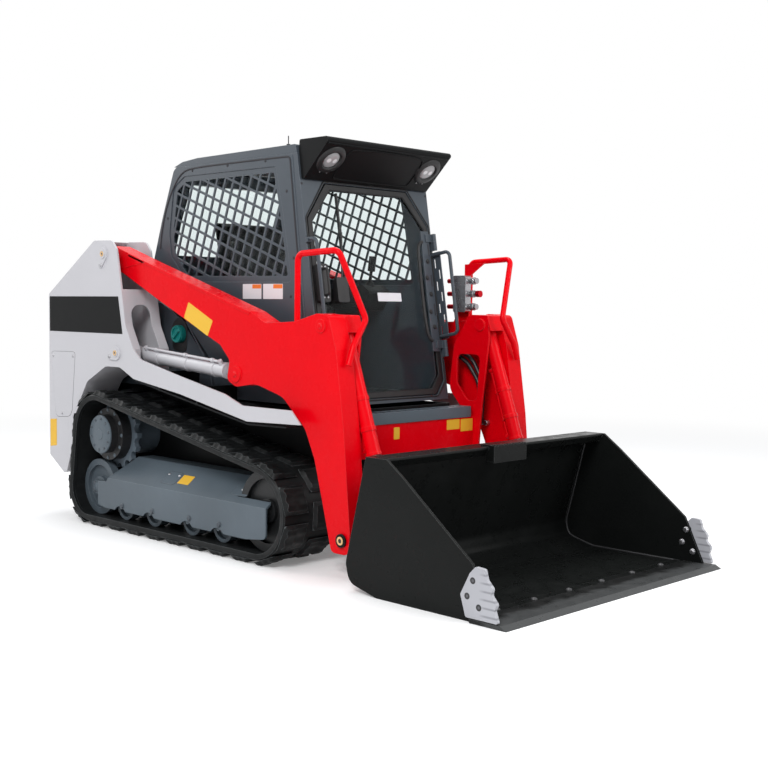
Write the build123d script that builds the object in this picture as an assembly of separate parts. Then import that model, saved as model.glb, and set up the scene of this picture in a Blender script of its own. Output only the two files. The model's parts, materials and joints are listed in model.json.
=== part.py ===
from build123d import *
import os
from math import acos, atan2, cos, degrees, hypot, radians, sin, tan

# Compact track loader: rubber tracks, a closed cab, radial lift arms and a bucket.
# Millimetres. +X is forward, +Y is the machine's left, +Z is up. The origin is on the ground,
# in the middle of the whole machine's length and width.
# Most steel is cut plate, so most pieces are side-view outlines given a thickness in Y.

# ---- driving sizes ----------------------------------------------------------------------------
NOSE = 1680.0                 # tip of the cutting edge, and minus this is the rear of the towers
BUCKET_WIDTH = 1575.0
EDGE_THICK = 16.0             # cutting edge
TRACK_GAUGE = 1160.0
TRACK_WIDTH = 320.0
GROUND_CLEARANCE = 240.0
PLATE = 10.0                  # structural plate
THIN = 6.0                    # sheet metal
RUNNING = 0.05                # radial clearance of a pin in its bore
SEAT = 0.3                    # clearance under a piece that is bolted or rests on another

# Half widths, from the middle plane outwards.
FRAME_HALF = 400.0            # lower frame, between the tracks
HOUSING_HALF = 437.0          # upper body and cab
FENDER_IN = 443.0             # inner edge of the shelf over a track, clear of the tilting cab
TOWER_IN = 480.0              # inner face of a tower
TOWER_OUT = 700.0             # outer face of a tower
ARM_IN = 540.0
ARM_OUT = 637.0
GUSSET_IN = 446.0             # inner plate of an arm's knee
TILT_Y = 500.0                # middle of a tilt cylinder
TILT_EARS = (466.0, 522.0)    # near side of each ear beside a tilt rod's eye
LIFT_Y = 590.0                # middle of a lift cylinder

# Pivot points in side view (x, z).
ARM_PIVOT = (-1124.0, 1447.0)
LIFT_BASE = (-1005.0, 930.0)
LIFT_EYE = (-91.0, 860.0)
TILT_BASE = (503.0, 1100.0)
TILT_EYE = (763.0, 360.0)
BUCKET_PIN = (645.0, 170.0)
CAB_PIVOT = (-1000.0, 1225.0)

# Track: carcass and shoes round three wheels, each (x, z, radius).
BELT = 25.0                   # thickness of the carcass
SHOE_HEIGHT = 22.0
SHOE_LENGTH = 104.0
SHOE_COUNT = 25
REAR_IDLER = (-1240.0, 150.0 + BELT + SHOE_HEIGHT, 150.0)
FRONT_IDLER = (160.0, 193.0 + BELT + SHOE_HEIGHT, 193.0)
SPROCKET = (-1160.0, 490.0, 190.0)
ROLLER_RADIUS = 75.0
ROLLER_X = (-985.0, -725.0, -405.0, -160.0)
ROLLER_Z = ROLLER_RADIUS + BELT + SHOE_HEIGHT

# Cylinders.
LIFT_BORE_OUT = 38.0          # outer radius of a lift barrel
LIFT_ROD = 20.0
TILT_BORE_OUT = 33.0
TILT_ROD = 17.0
PIN = 22.0                    # radius of the big pins
CAB_PIN = 12.0                # radius of the cab's pivot pins

# Cab front: a plane that leans back towards the roof.
CAB_FLOOR = 716.0
CAB_TOP = 1902.0
FRONT_FOOT = 302.0            # x of the front face at the floor
FRONT_LEAN = 0.1646           # backwards per unit of height
CAB_WALL = 28.0
DOOR_DEPTH = 20.0             # the door sits this deep in the cab's front
DOOR_GAP = 6.0                # clearance all round the door


# ---- small helpers ----------------------------------------------------------------------------
def outline(corners):
    """A face inside the closed outline whose corners are (x, z, corner radius)."""
    points = [(x, z) for x, z, _ in corners]
    return make_face(FilletPolyline(*points, radius=[r for _, _, r in corners], close=True))


def stand(face, y_low, y_high):
    """A side-view face stood upright and made thick from y_low to y_high."""
    side = Plane(origin=(0, y_high, 0), x_dir=(1, 0, 0), z_dir=(0, -1, 0))
    return extrude(side * face, amount=y_high - y_low)


def disc(centre, radius, y_low, y_high):
    """A round piece lying across the machine."""
    return stand(Pos(centre[0], centre[1]) * Circle(radius), y_low, y_high)


def block(x_low, x_high, y_low, y_high, z_low, z_high):
    """A box between two corners."""
    size = (x_high - x_low, y_high - y_low, z_high - z_low)
    middle = ((x_low + x_high) / 2, (y_low + y_high) / 2, (z_low + z_high) / 2)
    return Pos(*middle) * Box(*size)


def post(centre, radius, z_low, z_high):
    """A round upright piece."""
    return Pos(centre[0], centre[1], z_low) * extrude(Circle(radius), amount=z_high - z_low)


def bar(start, end, radius):
    """A round bar between two points."""
    run = Vector(*end) - Vector(*start)
    return extrude(Plane(origin=start, z_dir=run) * Circle(radius), amount=run.length)


def bent_tube(points, radius, bend):
    """A round tube through the points, with arcs of one bend radius."""
    path = FilletPolyline(*points, radius=bend)
    return sweep(Plane(origin=path @ 0, z_dir=path % 0) * Circle(radius), path=path)


def mirrored(shape):
    """The same piece on the other side of the machine."""
    return mirror(shape, about=Plane.XZ)


def along(start, end, distance):
    """The side-view point at a distance from start towards end."""
    run = hypot(end[0] - start[0], end[1] - start[1])
    return (start[0] + (end[0] - start[0]) * distance / run, start[1] + (end[1] - start[1]) * distance / run)


def save(name, *shapes):
    """Write one sub-part, of one or more separate solids."""
    solids = [solid for shape in shapes for solid in shape.solids()]
    export_step(Compound(children=solids), f"parts/{name}.step")


def save_pair(name, *shapes):
    """Write a sub-part for the left side and its mirror image for the right."""
    save(name + "_left", *shapes)
    save(name + "_right", *[mirrored(shape) for shape in shapes])


# ---- running gear -----------------------------------------------------------------------------
def belt_edge(wheels, offset):
    """The closed line round the wheels, a given distance outside their rims."""
    circles = [(x, z, r + offset) for x, z, r in wheels]
    contacts = []
    for (ax, az, ar), (bx, bz, br) in zip(circles, circles[1:] + circles[:1]):
        heading = atan2(bz - az, bx - ax)
        normal = heading - acos((ar - br) / hypot(bx - ax, bz - az))
        contacts.append(((ax + ar * cos(normal), az + ar * sin(normal)),
                         (bx + br * cos(normal), bz + br * sin(normal)), normal))
    edges = []
    for index, (start, end, normal) in enumerate(contacts):
        edges.append(Line(start, end))
        x, z, r = circles[(index + 1) % len(circles)]
        after_start, _, after = contacts[(index + 1) % len(contacts)]
        turn = (after - normal) % radians(360)
        middle = normal + turn / 2
        edges.append(ThreePointArc(end, (x + r * cos(middle), z + r * sin(middle)), after_start))
    return Wire(edges)


def track(y_middle):
    """A rubber track: one closed belt with its shoes in the outline."""
    wheels = (REAR_IDLER, FRONT_IDLER, SPROCKET)
    outside = belt_edge(wheels, BELT)
    face = make_face(outside)
    tread = make_face(belt_edge(wheels, BELT + SHOE_HEIGHT))
    for index in range(SHOE_COUNT):
        here = (index + 0.5) / SHOE_COUNT
        heading = outside % here
        turned = degrees(atan2(heading.Y, heading.X))
        shoe = Rectangle(SHOE_LENGTH, 3 * SHOE_HEIGHT)
        face += Pos(*(outside @ here)) * Rot(0, 0, turned) * shoe & tread
    face -= make_face(belt_edge(wheels, 0))
    return stand(face, y_middle - TRACK_WIDTH / 2, y_middle + TRACK_WIDTH / 2)


IDLER_AXLE = 28.0
ROLLER_AXLE = 16.0


def idler_wheel(centre, radius, y_low, y_high, groove, hub):
    """A wheel with a groove round its middle for the track's guide lugs, and a dished outer face."""
    middle = (y_low + y_high) / 2
    wheel = disc(centre, radius - SEAT, y_low, y_high)
    wheel -= disc(centre, radius + 1, middle - groove / 2, middle + groove / 2)
    wheel += disc(centre, radius * 0.72, y_low, y_high)
    dish = disc(centre, radius * 0.78, y_high - 22, y_high + 1) - disc(centre, hub, y_low, y_high + 1)
    return wheel - dish


def sprocket_and_motor():
    """The toothed drive wheel on its round hub motor."""
    x, z, radius = SPROCKET
    teeth = 15
    root, tip = radius - 34, radius - 3
    face = Pos(x, z) * Circle(tip)
    gullet = Circle((tip - root) * 0.55 + 8)
    for index in range(teeth):
        turn = radians(360 * (index + 0.5) / teeth)
        face -= Pos(x + (tip + 1) * cos(turn), z + (tip + 1) * sin(turn)) * gullet
    wheel = stand(face, 566, 596)
    wheel += disc((x, z), 118, FRAME_HALF, 566)
    wheel += disc((x, z), 140, 596, 655)
    wheel += disc((x, z), 103, 655, 700)
    return wheel


def track_frame():
    """The welded beam that carries the rollers: a channel, open below, with a sloping roof."""
    section = [(462, 100), (462, 372), (560, 372), (TOWER_OUT, 262), (TOWER_OUT, 100)]
    inner = [(472, 0), (472, 362), (557, 362), (TOWER_OUT - 10, 257), (TOWER_OUT - 10, 0)]
    across = Plane(origin=(-1190, 0, 0), x_dir=(0, 1, 0), z_dir=(1, 0, 0))
    length = 1400
    beam = extrude(across * make_face(Polyline(*section, close=True)), amount=length)
    beam -= extrude(across * make_face(Polyline(*inner, close=True)), amount=length)
    ends = outline([(-1190, 112, 0), (-1190, 238, 0), (-1110, 240, 20), (-1010, 380, 0), (120, 380, 0),
                    (205, 290, 0), (205, 118, 25), (60, 100, 0), (-1120, 100, 0)])
    beam &= stand(ends, 400, 720)
    for x in ROLLER_X:
        beam -= disc((x + 4, 62), 62, 400, 720)
    beam -= disc((FRONT_IDLER[0], FRONT_IDLER[1]), FRONT_IDLER[2] + 12, 500, 668)
    beam -= disc((REAR_IDLER[0], REAR_IDLER[1]), REAR_IDLER[2] + 12, 500, 657)
    x, z, _ = REAR_IDLER
    for y in (472, 658):
        beam += stand(outline([(x - 45, z - 32, 25), (x - 45, z + 32, 25), (-1150, 230, 0), (-1150, 140, 0)]), y, y + 12)
        beam -= disc((x, z), IDLER_AXLE + SEAT, y - 1, y + 13)
    for x in (-820, -120):
        beam += block(x - 60, x + 60, FRAME_HALF, 462, 250, 350)
    return beam


def running_gear():
    """Tracks, wheels, rollers, drive sprockets and the beams that carry them."""
    save_pair("track", track(TRACK_GAUGE / 2))
    save_pair("track_frame", track_frame())
    save_pair("drive_sprocket", sprocket_and_motor())
    idlers = []
    for x, z, radius in (REAR_IDLER, FRONT_IDLER):
        wheel = idler_wheel((x, z), radius, 510, 655, 60, IDLER_AXLE * 2)
        idlers.append(wheel + disc((x, z), IDLER_AXLE, 472 + SEAT, 670))
    save_pair("idlers", *idlers)
    rollers = [idler_wheel((x, ROLLER_Z), ROLLER_RADIUS, 500, 660, 50, ROLLER_AXLE * 1.8)
               + disc((x, ROLLER_Z), ROLLER_AXLE, 472 + SEAT, TOWER_OUT - PLATE - SEAT) for x in ROLLER_X]
    save_pair("rollers", *rollers)


# ---- frame and towers -------------------------------------------------------------------------
FRAME_REAR = -1590.0
FRAME_TOP = 745.0
LUG = 20.0                    # thickness of a tie-down lug
TIE_BORE = 19.0
TIE_Y = 360.0
REAR_TIE = (-1620.0, 395.0)
FRONT_TIE = (385.0, 410.0)
HOUSING_TOP = 1196.0


def main_frame():
    """The lower frame between the tracks: an open-topped steel tub."""
    shape = [(FRAME_REAR, 430, 0), (-1400, GROUND_CLEARANCE, 60), (250, GROUND_CLEARANCE, 60),
             (345, 330, 0), (345, 700, 0), (-530, 700, 0), (-530, FRAME_TOP, 0), (FRAME_REAR, FRAME_TOP, 0)]
    tub = stand(outline(shape), -FRAME_HALF, FRAME_HALF)
    hollow = [(FRAME_REAR + PLATE, 434, 0), (-1396, GROUND_CLEARANCE + PLATE, 50),
              (246, GROUND_CLEARANCE + PLATE, 50), (335, 334, 0), (335, 780, 0), (FRAME_REAR + PLATE, 780, 0)]
    tub -= stand(outline(hollow), PLATE - FRAME_HALF, FRAME_HALF - PLATE)
    for (x, z), wall_x in ((REAR_TIE, -1540), (FRONT_TIE, 340)):
        for y in (-TIE_Y, TIE_Y):
            ends = sorted((wall_x, x + (40 if x > 0 else -40)))
            lug = fillet(block(*ends, y - 36, y + 36, z - LUG / 2, z + LUG / 2).edges().filter_by(Axis.Z), 18)
            tub += lug
            tub -= post((x, y), TIE_BORE, z - LUG, z + LUG)
    return tub


def engine_housing():
    """The upper body behind and below the cab, open at the back for the engine door."""
    low = FRAME_TOP + SEAT
    shape = [(FRAME_REAR, low, 0), (-526, low, 0), (-566, 885, 40), (-806, 1112, 30),
             (-985, HOUSING_TOP, 0), (FRAME_REAR, HOUSING_TOP, 0)]
    hollow = [(FRAME_REAR - 10, low + THIN, 0), (-538, low + THIN, 0), (-577, 878, 30), (-813, 1102, 25),
              (-988, HOUSING_TOP - PLATE, 0), (FRAME_REAR - 10, HOUSING_TOP - PLATE, 0)]
    body = stand(outline(shape), -HOUSING_HALF, HOUSING_HALF)
    body -= stand(outline(hollow), THIN - HOUSING_HALF, HOUSING_HALF - THIN)
    body -= block(FRAME_REAR - 10, -560, 20 - FRAME_HALF, FRAME_HALF - 20, low - 10, low + 10)
    body -= block(-1480, -1120, -330, 330, HOUSING_TOP - 30, HOUSING_TOP + 10)
    x, z = CAB_PIVOT
    for y in (264, 298):
        for side in (1, -1):
            ear = outline([(x - 20, HOUSING_TOP, 0), (x - 20, z, 0), (x + 20, z, 0), (x + 20, HOUSING_TOP, 0)])
            low_y, high_y = sorted((side * y, side * (y + 10)))
            body += stand(ear, low_y, high_y) + disc((x, z), 20, low_y, high_y)
    for side in (1, -1):
        body += disc((x, z), CAB_PIN, *sorted((side * 264, side * 308)))
    return body


def tower():
    """A lift-arm tower: two plates joined by a rear wall, an arch liner and a front web.

    The outer plate runs on forwards as the beam over the track.
    """
    back = [(-NOSE, 336, 0), (-NOSE, 1237, 12), (-1215, 1520, 60), (-1046, 1516, 45), (-1003, 1468, 30),
            (-963, 1277, 0), (-923, 1074, 90), (-852, 954, 0)]
    arch = [(-851, 801, 0), (-978, 856, 60), (-1109, 856, 90), (-1289, 767, 60), (-1372, 650, 60),
            (-1432, 432, 0), (-1500, 262, 20), (-1530, 246, 10)]
    beam_top = [(-790, 903, 60), (-478, 839, 0), (-103, 768, 60), (30, 722, 60), (374, 722, 0)]
    beam_end = [(438, 662, 0), (68, 651, 60), (-451, 747, 0)]
    plate = stand(outline(back + beam_top + beam_end + arch), TOWER_OUT - PLATE, TOWER_OUT)
    box = stand(outline(back + arch), TOWER_IN, TOWER_OUT)
    void = outline([(-NOSE + PLATE, 342, 0), (-NOSE + PLATE, 1231, 0), (-1212, 1509, 50), (-1212, 1700, 0),
                    (-900, 1700, 0), (-973, 1277, 0), (-933, 1076, 80), (-862, 950, 0), (-862, 816, 0),
                    (-975, 867, 50), (-1112, 867, 90), (-1297, 774, 60), (-1382, 654, 60), (-1442, 436, 0),
                    (-1507, 271, 20), (-1534, 258, 10)])
    tower_box = box - stand(void, TOWER_IN + PLATE, TOWER_OUT - PLATE)
    tower_box -= block(-1212, -880, TOWER_IN + PLATE, TOWER_OUT - PLATE, 1262, 1600)
    slot = Plane(origin=(-700, 0, 0), x_dir=(0, -1, 0), z_dir=(-1, 0, 0))
    window = [(-535, 868, 20), (-535, 1182, 55), (-655, 1182, 55), (-655, 868, 20)]
    tower_box -= extrude(slot * make_face(FilletPolyline(*[(y, z) for y, z, _ in window],
                                                         radius=[r for _, _, r in window], close=True)),
                         amount=270)
    tower_box += plate
    for pivot, radius, turn in ((ARM_PIVOT, PIN + 3, 250), (LIFT_BASE, PIN, 200)):
        tower_box += disc(pivot, radius, TOWER_IN + PLATE, TOWER_OUT - PLATE)
        tower_box += stand(keeper(pivot, turn), TOWER_OUT, TOWER_OUT + KEEPER)
        tower_box += disc(pivot, radius, TOWER_OUT, TOWER_OUT + KEEPER + 4)
    tower_box += block(FRAME_REAR, FRAME_REAR + 90, FRAME_HALF, TOWER_IN, 440, FRAME_TOP - 5)
    return tower_box


KEEPER = 8.0                  # thickness of a pin keeper


def keeper(pivot, turn):
    """The teardrop plate that locks a pin, in side view, with its small end turned by an angle."""
    x, z = pivot
    foot = (x + 62 * cos(radians(turn)), z + 62 * sin(radians(turn)))
    big, small = Pos(x, z) * Circle(PIN + 16), Pos(*foot) * Circle(15)
    return make_hull(big.edges() + small.edges())


def fender():
    """The shelf over a track, between the lower frame and the tower's outer plate, with two gussets."""
    top = [(-845, 795, 0), (-470, 730, 0), (60, 640, 60), (330, 645, 0)]
    under = [(330, 639, 0), (60, 634, 60), (-470, 724, 0), (-845, 789, 0)]
    shelf = stand(outline(top + under), FENDER_IN, TOWER_OUT - PLATE - SEAT)
    for x, z_low, z_high in ((-640, 752, 850), (-330, 700, 790)):
        shelf += block(x - 5, x + 5, FENDER_IN, TOWER_OUT - PLATE - SEAT, z_low, z_high)
    return shelf


def hood():
    """The engine cover between the towers."""
    low = HOUSING_TOP + SEAT
    shape = [(-1655, low, 0), (-1655, 1232, 15), (-1480, 1262, 30), (-1085, 1262, 20), (-1085, low, 0)]
    hollow = [(-1645, low - 1, 0), (-1645, 1224, 10), (-1480, 1252, 25), (-1095, 1252, 15), (-1095, low - 1, 0)]
    cover = stand(outline(shape), 10 - TOWER_IN, TOWER_IN - 10)
    cover -= stand(outline(hollow), 18 - TOWER_IN, TOWER_IN - 18)
    for index in range(7):
        x = -1440 + 44 * index
        cover -= block(x, x + 20, -260, 260, 1240, 1280)
    return cover


REAR_DOOR_X = (-1660.0, -1606.0)
REAR_DOOR_Y = (-470.0, 455.0)
DOOR_HINGE = (-1669.0, 468.0)     # the rear door's upright hinge line, (x, y)
HINGE_PIN = 5.0
KNUCKLE = 9.0                 # outer radius of a hinge knuckle
KNUCKLE_Z = (520, 810, 1100)


def tower_hinge():
    """The tower's half of the rear door hinges: a knuckle and a pin below each door knuckle."""
    x, y = DOOR_HINGE
    half = Part()
    for z in KNUCKLE_Z:
        half += post(DOOR_HINGE, KNUCKLE, z - 32, z - SEAT) + post(DOOR_HINGE, HINGE_PIN, z - 32, z + 30)
        half += block(x - 4, x + 4, y, TOWER_IN, z - 32, z - SEAT)
    return half


def rear_door():
    """The engine door between the towers: a shallow pressed tray with rows of louvre slots."""
    outer_x, inner_x = REAR_DOOR_X
    right, left = REAR_DOOR_Y
    door = block(outer_x, inner_x, right, left, 440, 1185)
    door = fillet(door.edges().filter_by(Axis.Z).group_by(Axis.X)[0], 20)
    door -= block(outer_x + THIN, inner_x + 1, right + THIN, left - THIN, 440 + THIN, 1185 - THIN)
    for row in range(9):
        z = 620 + 42 * row
        door -= block(outer_x - 10, outer_x + 20, -330, 330, z, z + 18)
    x, y = DOOR_HINGE
    for z in KNUCKLE_Z:
        door += post(DOOR_HINGE, KNUCKLE, z, z + 32) + block(x - 4, outer_x + 10, left - 30, y, z, z + 32)
        door -= post(DOOR_HINGE, HINGE_PIN + RUNNING, z - 1, z + 33)
        door -= block(outer_x + THIN, inner_x + 1, left - 40, left - THIN, z - 5, z + 40)
    return door


def chassis():
    """Everything that is bolted or welded to the frame."""
    save("main_frame", main_frame())
    save("engine_housing", engine_housing())
    one_tower = tower()
    save("tower_left", one_tower + tower_hinge())
    save("tower_right", mirrored(one_tower))
    save_pair("fender", fender())
    save("hood", hood())
    save("rear_door", rear_door())
    save("engine", block(-1350, -880, -260, 260, GROUND_CLEARANCE + PLATE, 900))
    cap_x, cap_z = -800, 1031
    save("fuel_cap", disc((cap_x, cap_z), 46, -HOUSING_HALF - 30, -HOUSING_HALF - SEAT))
    lamp = block(-1667, -1655 - SEAT, 385, 455, 1203, 1229)
    save("tail_lamps", lamp, mirrored(lamp))


# ---- cab --------------------------------------------------------------------------------------
def front_x(z):
    """Where the cab's leaning front face is at a height."""
    return FRONT_FOOT - FRONT_LEAN * (z - 728.0)


CAB_CORNERS = [(front_x(CAB_FLOOR), CAB_FLOOR, 0), (front_x(CAB_TOP), CAB_TOP, 0), (-860, CAB_TOP, 50),
               (-970, 1634, 200), (-1041, 1435, 0), (-1030, 1290, 40), (-960, 1218, 30), (-800, 1138, 40),
               (-552, 908, 40), (-500, CAB_FLOOR, 30)]


# A side window's corners in side view.
SIDE_WINDOW = [(-870, 1798, 20), (-774, 1850, 20), (-44, 1850, 20), (8, 1640, 0), (76, 1298, 20),
               (-756, 1305, 20), (-890, 1442, 50), (-906, 1560, 90)]


def rear_window(shrink):
    """The block that cuts the rear window, made smaller all round."""
    return block(-1080, -820, shrink - 330, 330 - shrink, 1450 + shrink, 1820 - shrink)


def cab_frame():
    """The cab's welded shell: sides, back, floor pan and front pillars, open at the roof."""
    wall = CAB_WALL
    shell = stand(outline(CAB_CORNERS), -HOUSING_HALF, HOUSING_HALF)
    inside = [(front_x(CAB_FLOOR) - wall - 5, CAB_FLOOR + wall, 0), (front_x(1950) - wall, 1950, 0),
              (-836, 1950, 0), (-838, CAB_TOP - 60, 40), (-940, 1634, 200), (-1010, 1435, 0),
              (-1002, 1310, 30), (-948, 1246, 20), (-786, 1166, 30), (-524, 922, 30), (-476, CAB_FLOOR + wall, 20)]
    shell -= stand(outline(inside), wall - HOUSING_HALF, HOUSING_HALF - wall)
    shell -= stand(outline(SIDE_WINDOW), -500, 500)
    shell -= rear_window(0)
    shell -= front_prism(door_outline(DOOR_GAP, 12), -DOOR_DEPTH - DOOR_GAP, 60)
    shell -= front_prism(door_outline(-26, 10), -60, 60)
    for s in DOOR_HINGE_S:
        shell += front_box(DOOR_HINGE_Y - 8, HOUSING_HALF, s - 45, s - SEAT, -5, DOOR_HINGE_N)
        shell += front_bar(DOOR_HINGE_Y, s - 45, s - SEAT, DOOR_HINGE_N, 11)
        shell += front_bar(DOOR_HINGE_Y, s - 45, s + 40, DOOR_HINGE_N, DOOR_PIN)
    x, z = CAB_PIVOT
    for y in (280, -292):
        ear = outline([(x - 16, z, 0), (x - 20, z + 62, 0), (x + 40, z + 20, 0), (x + 16, z, 0)])
        shell += stand(ear, y, y + 12) + disc((x, z), 20, y, y + 12)
        shell -= disc((x, z), CAB_PIN + RUNNING, y - 1, y + 13)
    return shell


def front_prism(corners, behind, ahead):
    """A prism square to the cab's leaning front, from corners (y, height along the front, radius)."""
    lean = degrees(atan2(FRONT_LEAN, 1))
    face_plane = Plane(origin=(FRONT_FOOT, 0, 728), x_dir=(0, 1, 0),
                       z_dir=(cos(radians(lean)), 0, sin(radians(lean))))
    points = [(y, s) for y, s, _ in corners]
    face = make_face(FilletPolyline(*points, radius=[r for _, _, r in corners], close=True))
    return extrude(face_plane.offset(behind) * face, amount=ahead - behind)


# The door's hinge line: sideways place and distance ahead of the cab's front, and the hinges' heights on it.
DOOR_HINGE_Y = 428.0
DOOR_HINGE_N = 28.0
DOOR_HINGE_S = (250.0, 800.0)
DOOR_PIN = 6.0


def front_point(y, s, n):
    """A point given by its sideways place, its height along the cab's front and its distance ahead of it."""
    lean = atan2(FRONT_LEAN, 1)
    return (FRONT_FOOT - s * sin(lean) + n * cos(lean), y, 728 + s * cos(lean) + n * sin(lean))


def front_bar(y, s_low, s_high, n, radius):
    """A round bar along the cab's front: at a sideways place, between two heights, n ahead of the front."""
    return bar(front_point(y, s_low, n), front_point(y, s_high, n), radius)


def front_box(y_low, y_high, s_low, s_high, n_low, n_high, radius=0.0):
    """A box square to the cab's front, with round corners if a radius is given."""
    corners = [(y_low, s_low, radius), (y_high, s_low, radius), (y_high, s_high, radius), (y_low, s_high, radius)]
    return front_prism(corners, n_low, n_high)


def door_outline(grow, radius):
    """The door's eight corners on the cab's front (y, height above the foot, radius), grown all round."""
    half, low, high = 412 + grow, 18 - grow, 1052 + grow
    side = [(half - 62, low, radius), (half, low + 72, radius), (half, 880 + grow / 2, radius),
            (half - 134, high, radius)]
    return side + [(-y, s, r) for y, s, r in reversed(side)]


def cab_roof():
    """The roof lid."""
    shape = [(front_x(CAB_TOP) - 2, CAB_TOP + SEAT, 0), (98, 1944, 10), (-662, 1936, 200), (-790, 1925, 60),
             (-862, CAB_TOP + SEAT, 0)]
    return stand(outline(shape), -HOUSING_HALF, HOUSING_HALF)


AERIAL = (5.0, -400.0)
LAMP_CENTRE = (214.0, 332.0, 1886.0)


def lamp_bar(radius, behind, ahead):
    """A round piece on a work lamp's axis, which points forwards and down."""
    x, y, z = LAMP_CENTRE
    down = sin(radians(45))
    return bar((x - behind * down, y, z + behind * down), (x + ahead * down, y, z - ahead * down), radius)


def visor():
    """The lamp housing that overhangs the door."""
    shape = [(front_x(1800) + SEAT, 1800, 0), (132, 1772, 8), (314, 1950, 12), (300, 1965, 12), (112, 1965, 10),
             (front_x(CAB_TOP) + SEAT, CAB_TOP + 10, 0)]
    housing = stand(outline(shape), -425, 425)
    recess = lamp_bar(45, 14, 80)
    return housing - recess - mirrored(recess)


def entry_handle():
    """The grab handle and the slotted plate beside the door's hinges."""
    reach = [(735, 0.3), (735, 122), (312, 122), (312, 0.3)]
    handle = bent_tube([front_point(427.5, s, n) for s, n in reach], 9, 28)
    plate = front_box(HOUSING_HALF + SEAT, HOUSING_HALF + 5, 297, 748, -30, 48)
    for index in range(7):
        s, n = 318 + 58 * index, 4 + 24 * (index % 2)
        plate -= front_box(HOUSING_HALF - 5, HOUSING_HALF + 10, s, s + 46, n, n + 8)
    return handle, plate


def wiper():
    """The door's wiper: motor cover, arm and blade, on the glass."""
    glass = -DOOR_DEPTH + 14 + SEAT
    cover = front_box(-292, -218, 480, 600, glass, 26, 12)
    arm = bar(front_point(-252, 570, 20), front_point(-216, 820, 12), 5)
    blade = front_box(-220, -212, 610, 1012, glass, 8)
    return cover + arm + blade + bar(front_point(-216, 800, 6), front_point(-216, 840, 6), 7)


def control_lever(y):
    """A joystick on a console."""
    stick = bar((-168, y, 1270), (-150, y, 1385), 8)
    grip = bar((-152, y, 1372), (-140, y, 1450), 20)
    gaiter = loft([Pos(-168, y, 1262) * Circle(46), Pos(-160, y, 1318) * Circle(16)])
    return stick + grip + gaiter


def screen_face():
    """A side screen in side view: a sheet with tilted rows of square windows and a plain rim."""
    tilt, pitch, gap = -20.0, 64.0, 53.0
    rim = offset(outline(SIDE_WINDOW), -SEAT)
    inner = outline([(-840, 1780, 20), (-764, 1822, 20), (-62, 1822, 10), (-16, 1634, 0), (44, 1328, 10),
                     (-748, 1334, 10), (-862, 1450, 40), (-876, 1560, 80)])
    windows = [Pos(-420, 1580) * Rot(0, 0, tilt) * Pos(pitch * i, pitch * j) * Rectangle(gap, gap)
               for i in range(-8, 9) for j in range(-6, 7)]
    return rim - (inner & Sketch() + windows)


def cab():
    """Cab shell, roof, glass and what is inside."""
    save("cab_frame", cab_frame())
    save("cab_roof", cab_roof())
    save("visor", visor())
    lens = lamp_bar(38, 14 - SEAT, 10)
    save("work_lamps", lens, mirrored(lens))
    pane_in = HOUSING_HALF - CAB_WALL + 2
    pane = stand(offset(outline(SIDE_WINDOW), -SEAT), pane_in, pane_in + 5)
    walls = offset(outline(CAB_CORNERS), -10) - offset(outline(CAB_CORNERS), -16)
    back_pane = stand(walls, -HOUSING_HALF, HOUSING_HALF) & rear_window(SEAT)
    save("cab_windows", pane, mirrored(pane), back_pane)
    grille = stand(screen_face(), HOUSING_HALF - 12, HOUSING_HALF - 4)
    save("side_screens", grille, mirrored(grille))
    seat_face = outline([(-640, 1090, 30), (-250, 1080, 40), (-250, 1180, 50), (-560, 1190, 60),
                         (-700, 1640, 60), (-820, 1640, 60), (-760, 1140, 60)])
    floor = CAB_FLOOR + CAB_WALL + SEAT
    base = outline([(-300, 1100, 0), (-300, floor, 0), (-460, floor, 0), (-508, 928, 0), (-640, 1051, 0),
                    (-640, 1100, 0)])
    save("seat", stand(seat_face, -230, 230) + stand(base, -180, 180))
    console = outline([(-560, 1180, 20), (-150, 1160, 20), (-90, 1260, 20), (-150, 1300, 20), (-560, 1260, 20)])
    box = stand(console, 250, HOUSING_HALF - CAB_WALL - SEAT)
    save("control_consoles", box, mirrored(box))
    reach = 62
    handle = bent_tube([(front_x(1500) + 2, -428, 1500), (front_x(1500) + reach, -428, 1500),
                        (front_x(960) + reach, -428, 960), (front_x(960) + 2, -428, 960)], 9, 25)
    save("grab_handle", handle)
    save("entry_handle", *entry_handle())
    save("control_levers", control_lever(320) - box, control_lever(-320) - mirrored(box))
    save("aerial", post(AERIAL, 2.5, 1930, 1993) + post(AERIAL, 9, 1930, 1954) - cab_roof())


def cab_door():
    """The front door: a glass pane in a thin steel frame, its hinge plate and latch."""
    frame = front_prism(door_outline(0, 10), -DOOR_DEPTH, 0) - front_prism(door_outline(-24, 8), -60, 40)
    save("cab_door_frame", frame)
    save("cab_door_glass", front_prism(door_outline(-24 - SEAT, 8), -DOOR_DEPTH + 8, -DOOR_DEPTH + 14))
    hinge = front_box(351, 408, 235, 855, SEAT, 10, 6)
    for s in DOOR_HINGE_S:
        hinge += front_box(380, DOOR_HINGE_Y, s, s + 40, 5, 17)
        hinge += front_box(DOOR_HINGE_Y - 11, DOOR_HINGE_Y + 2, s, s + 40, 14, DOOR_HINGE_N)
        hinge += front_bar(DOOR_HINGE_Y, s, s + 40, DOOR_HINGE_N, 11)
        hinge -= front_bar(DOOR_HINGE_Y, s - 1, s + 41, DOOR_HINGE_N, DOOR_PIN + RUNNING)
    save("cab_door_hinge", hinge)
    latch = front_box(-408, -350, 480, 660, SEAT, 36, 12)
    loop = [(510, 35), (510, 62), (635, 62), (635, 35)]
    latch += bent_tube([front_point(-379, s, n) for s, n in loop], 6, 14)
    save("cab_door_latch", latch)
    save("wiper", wiper())


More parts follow.
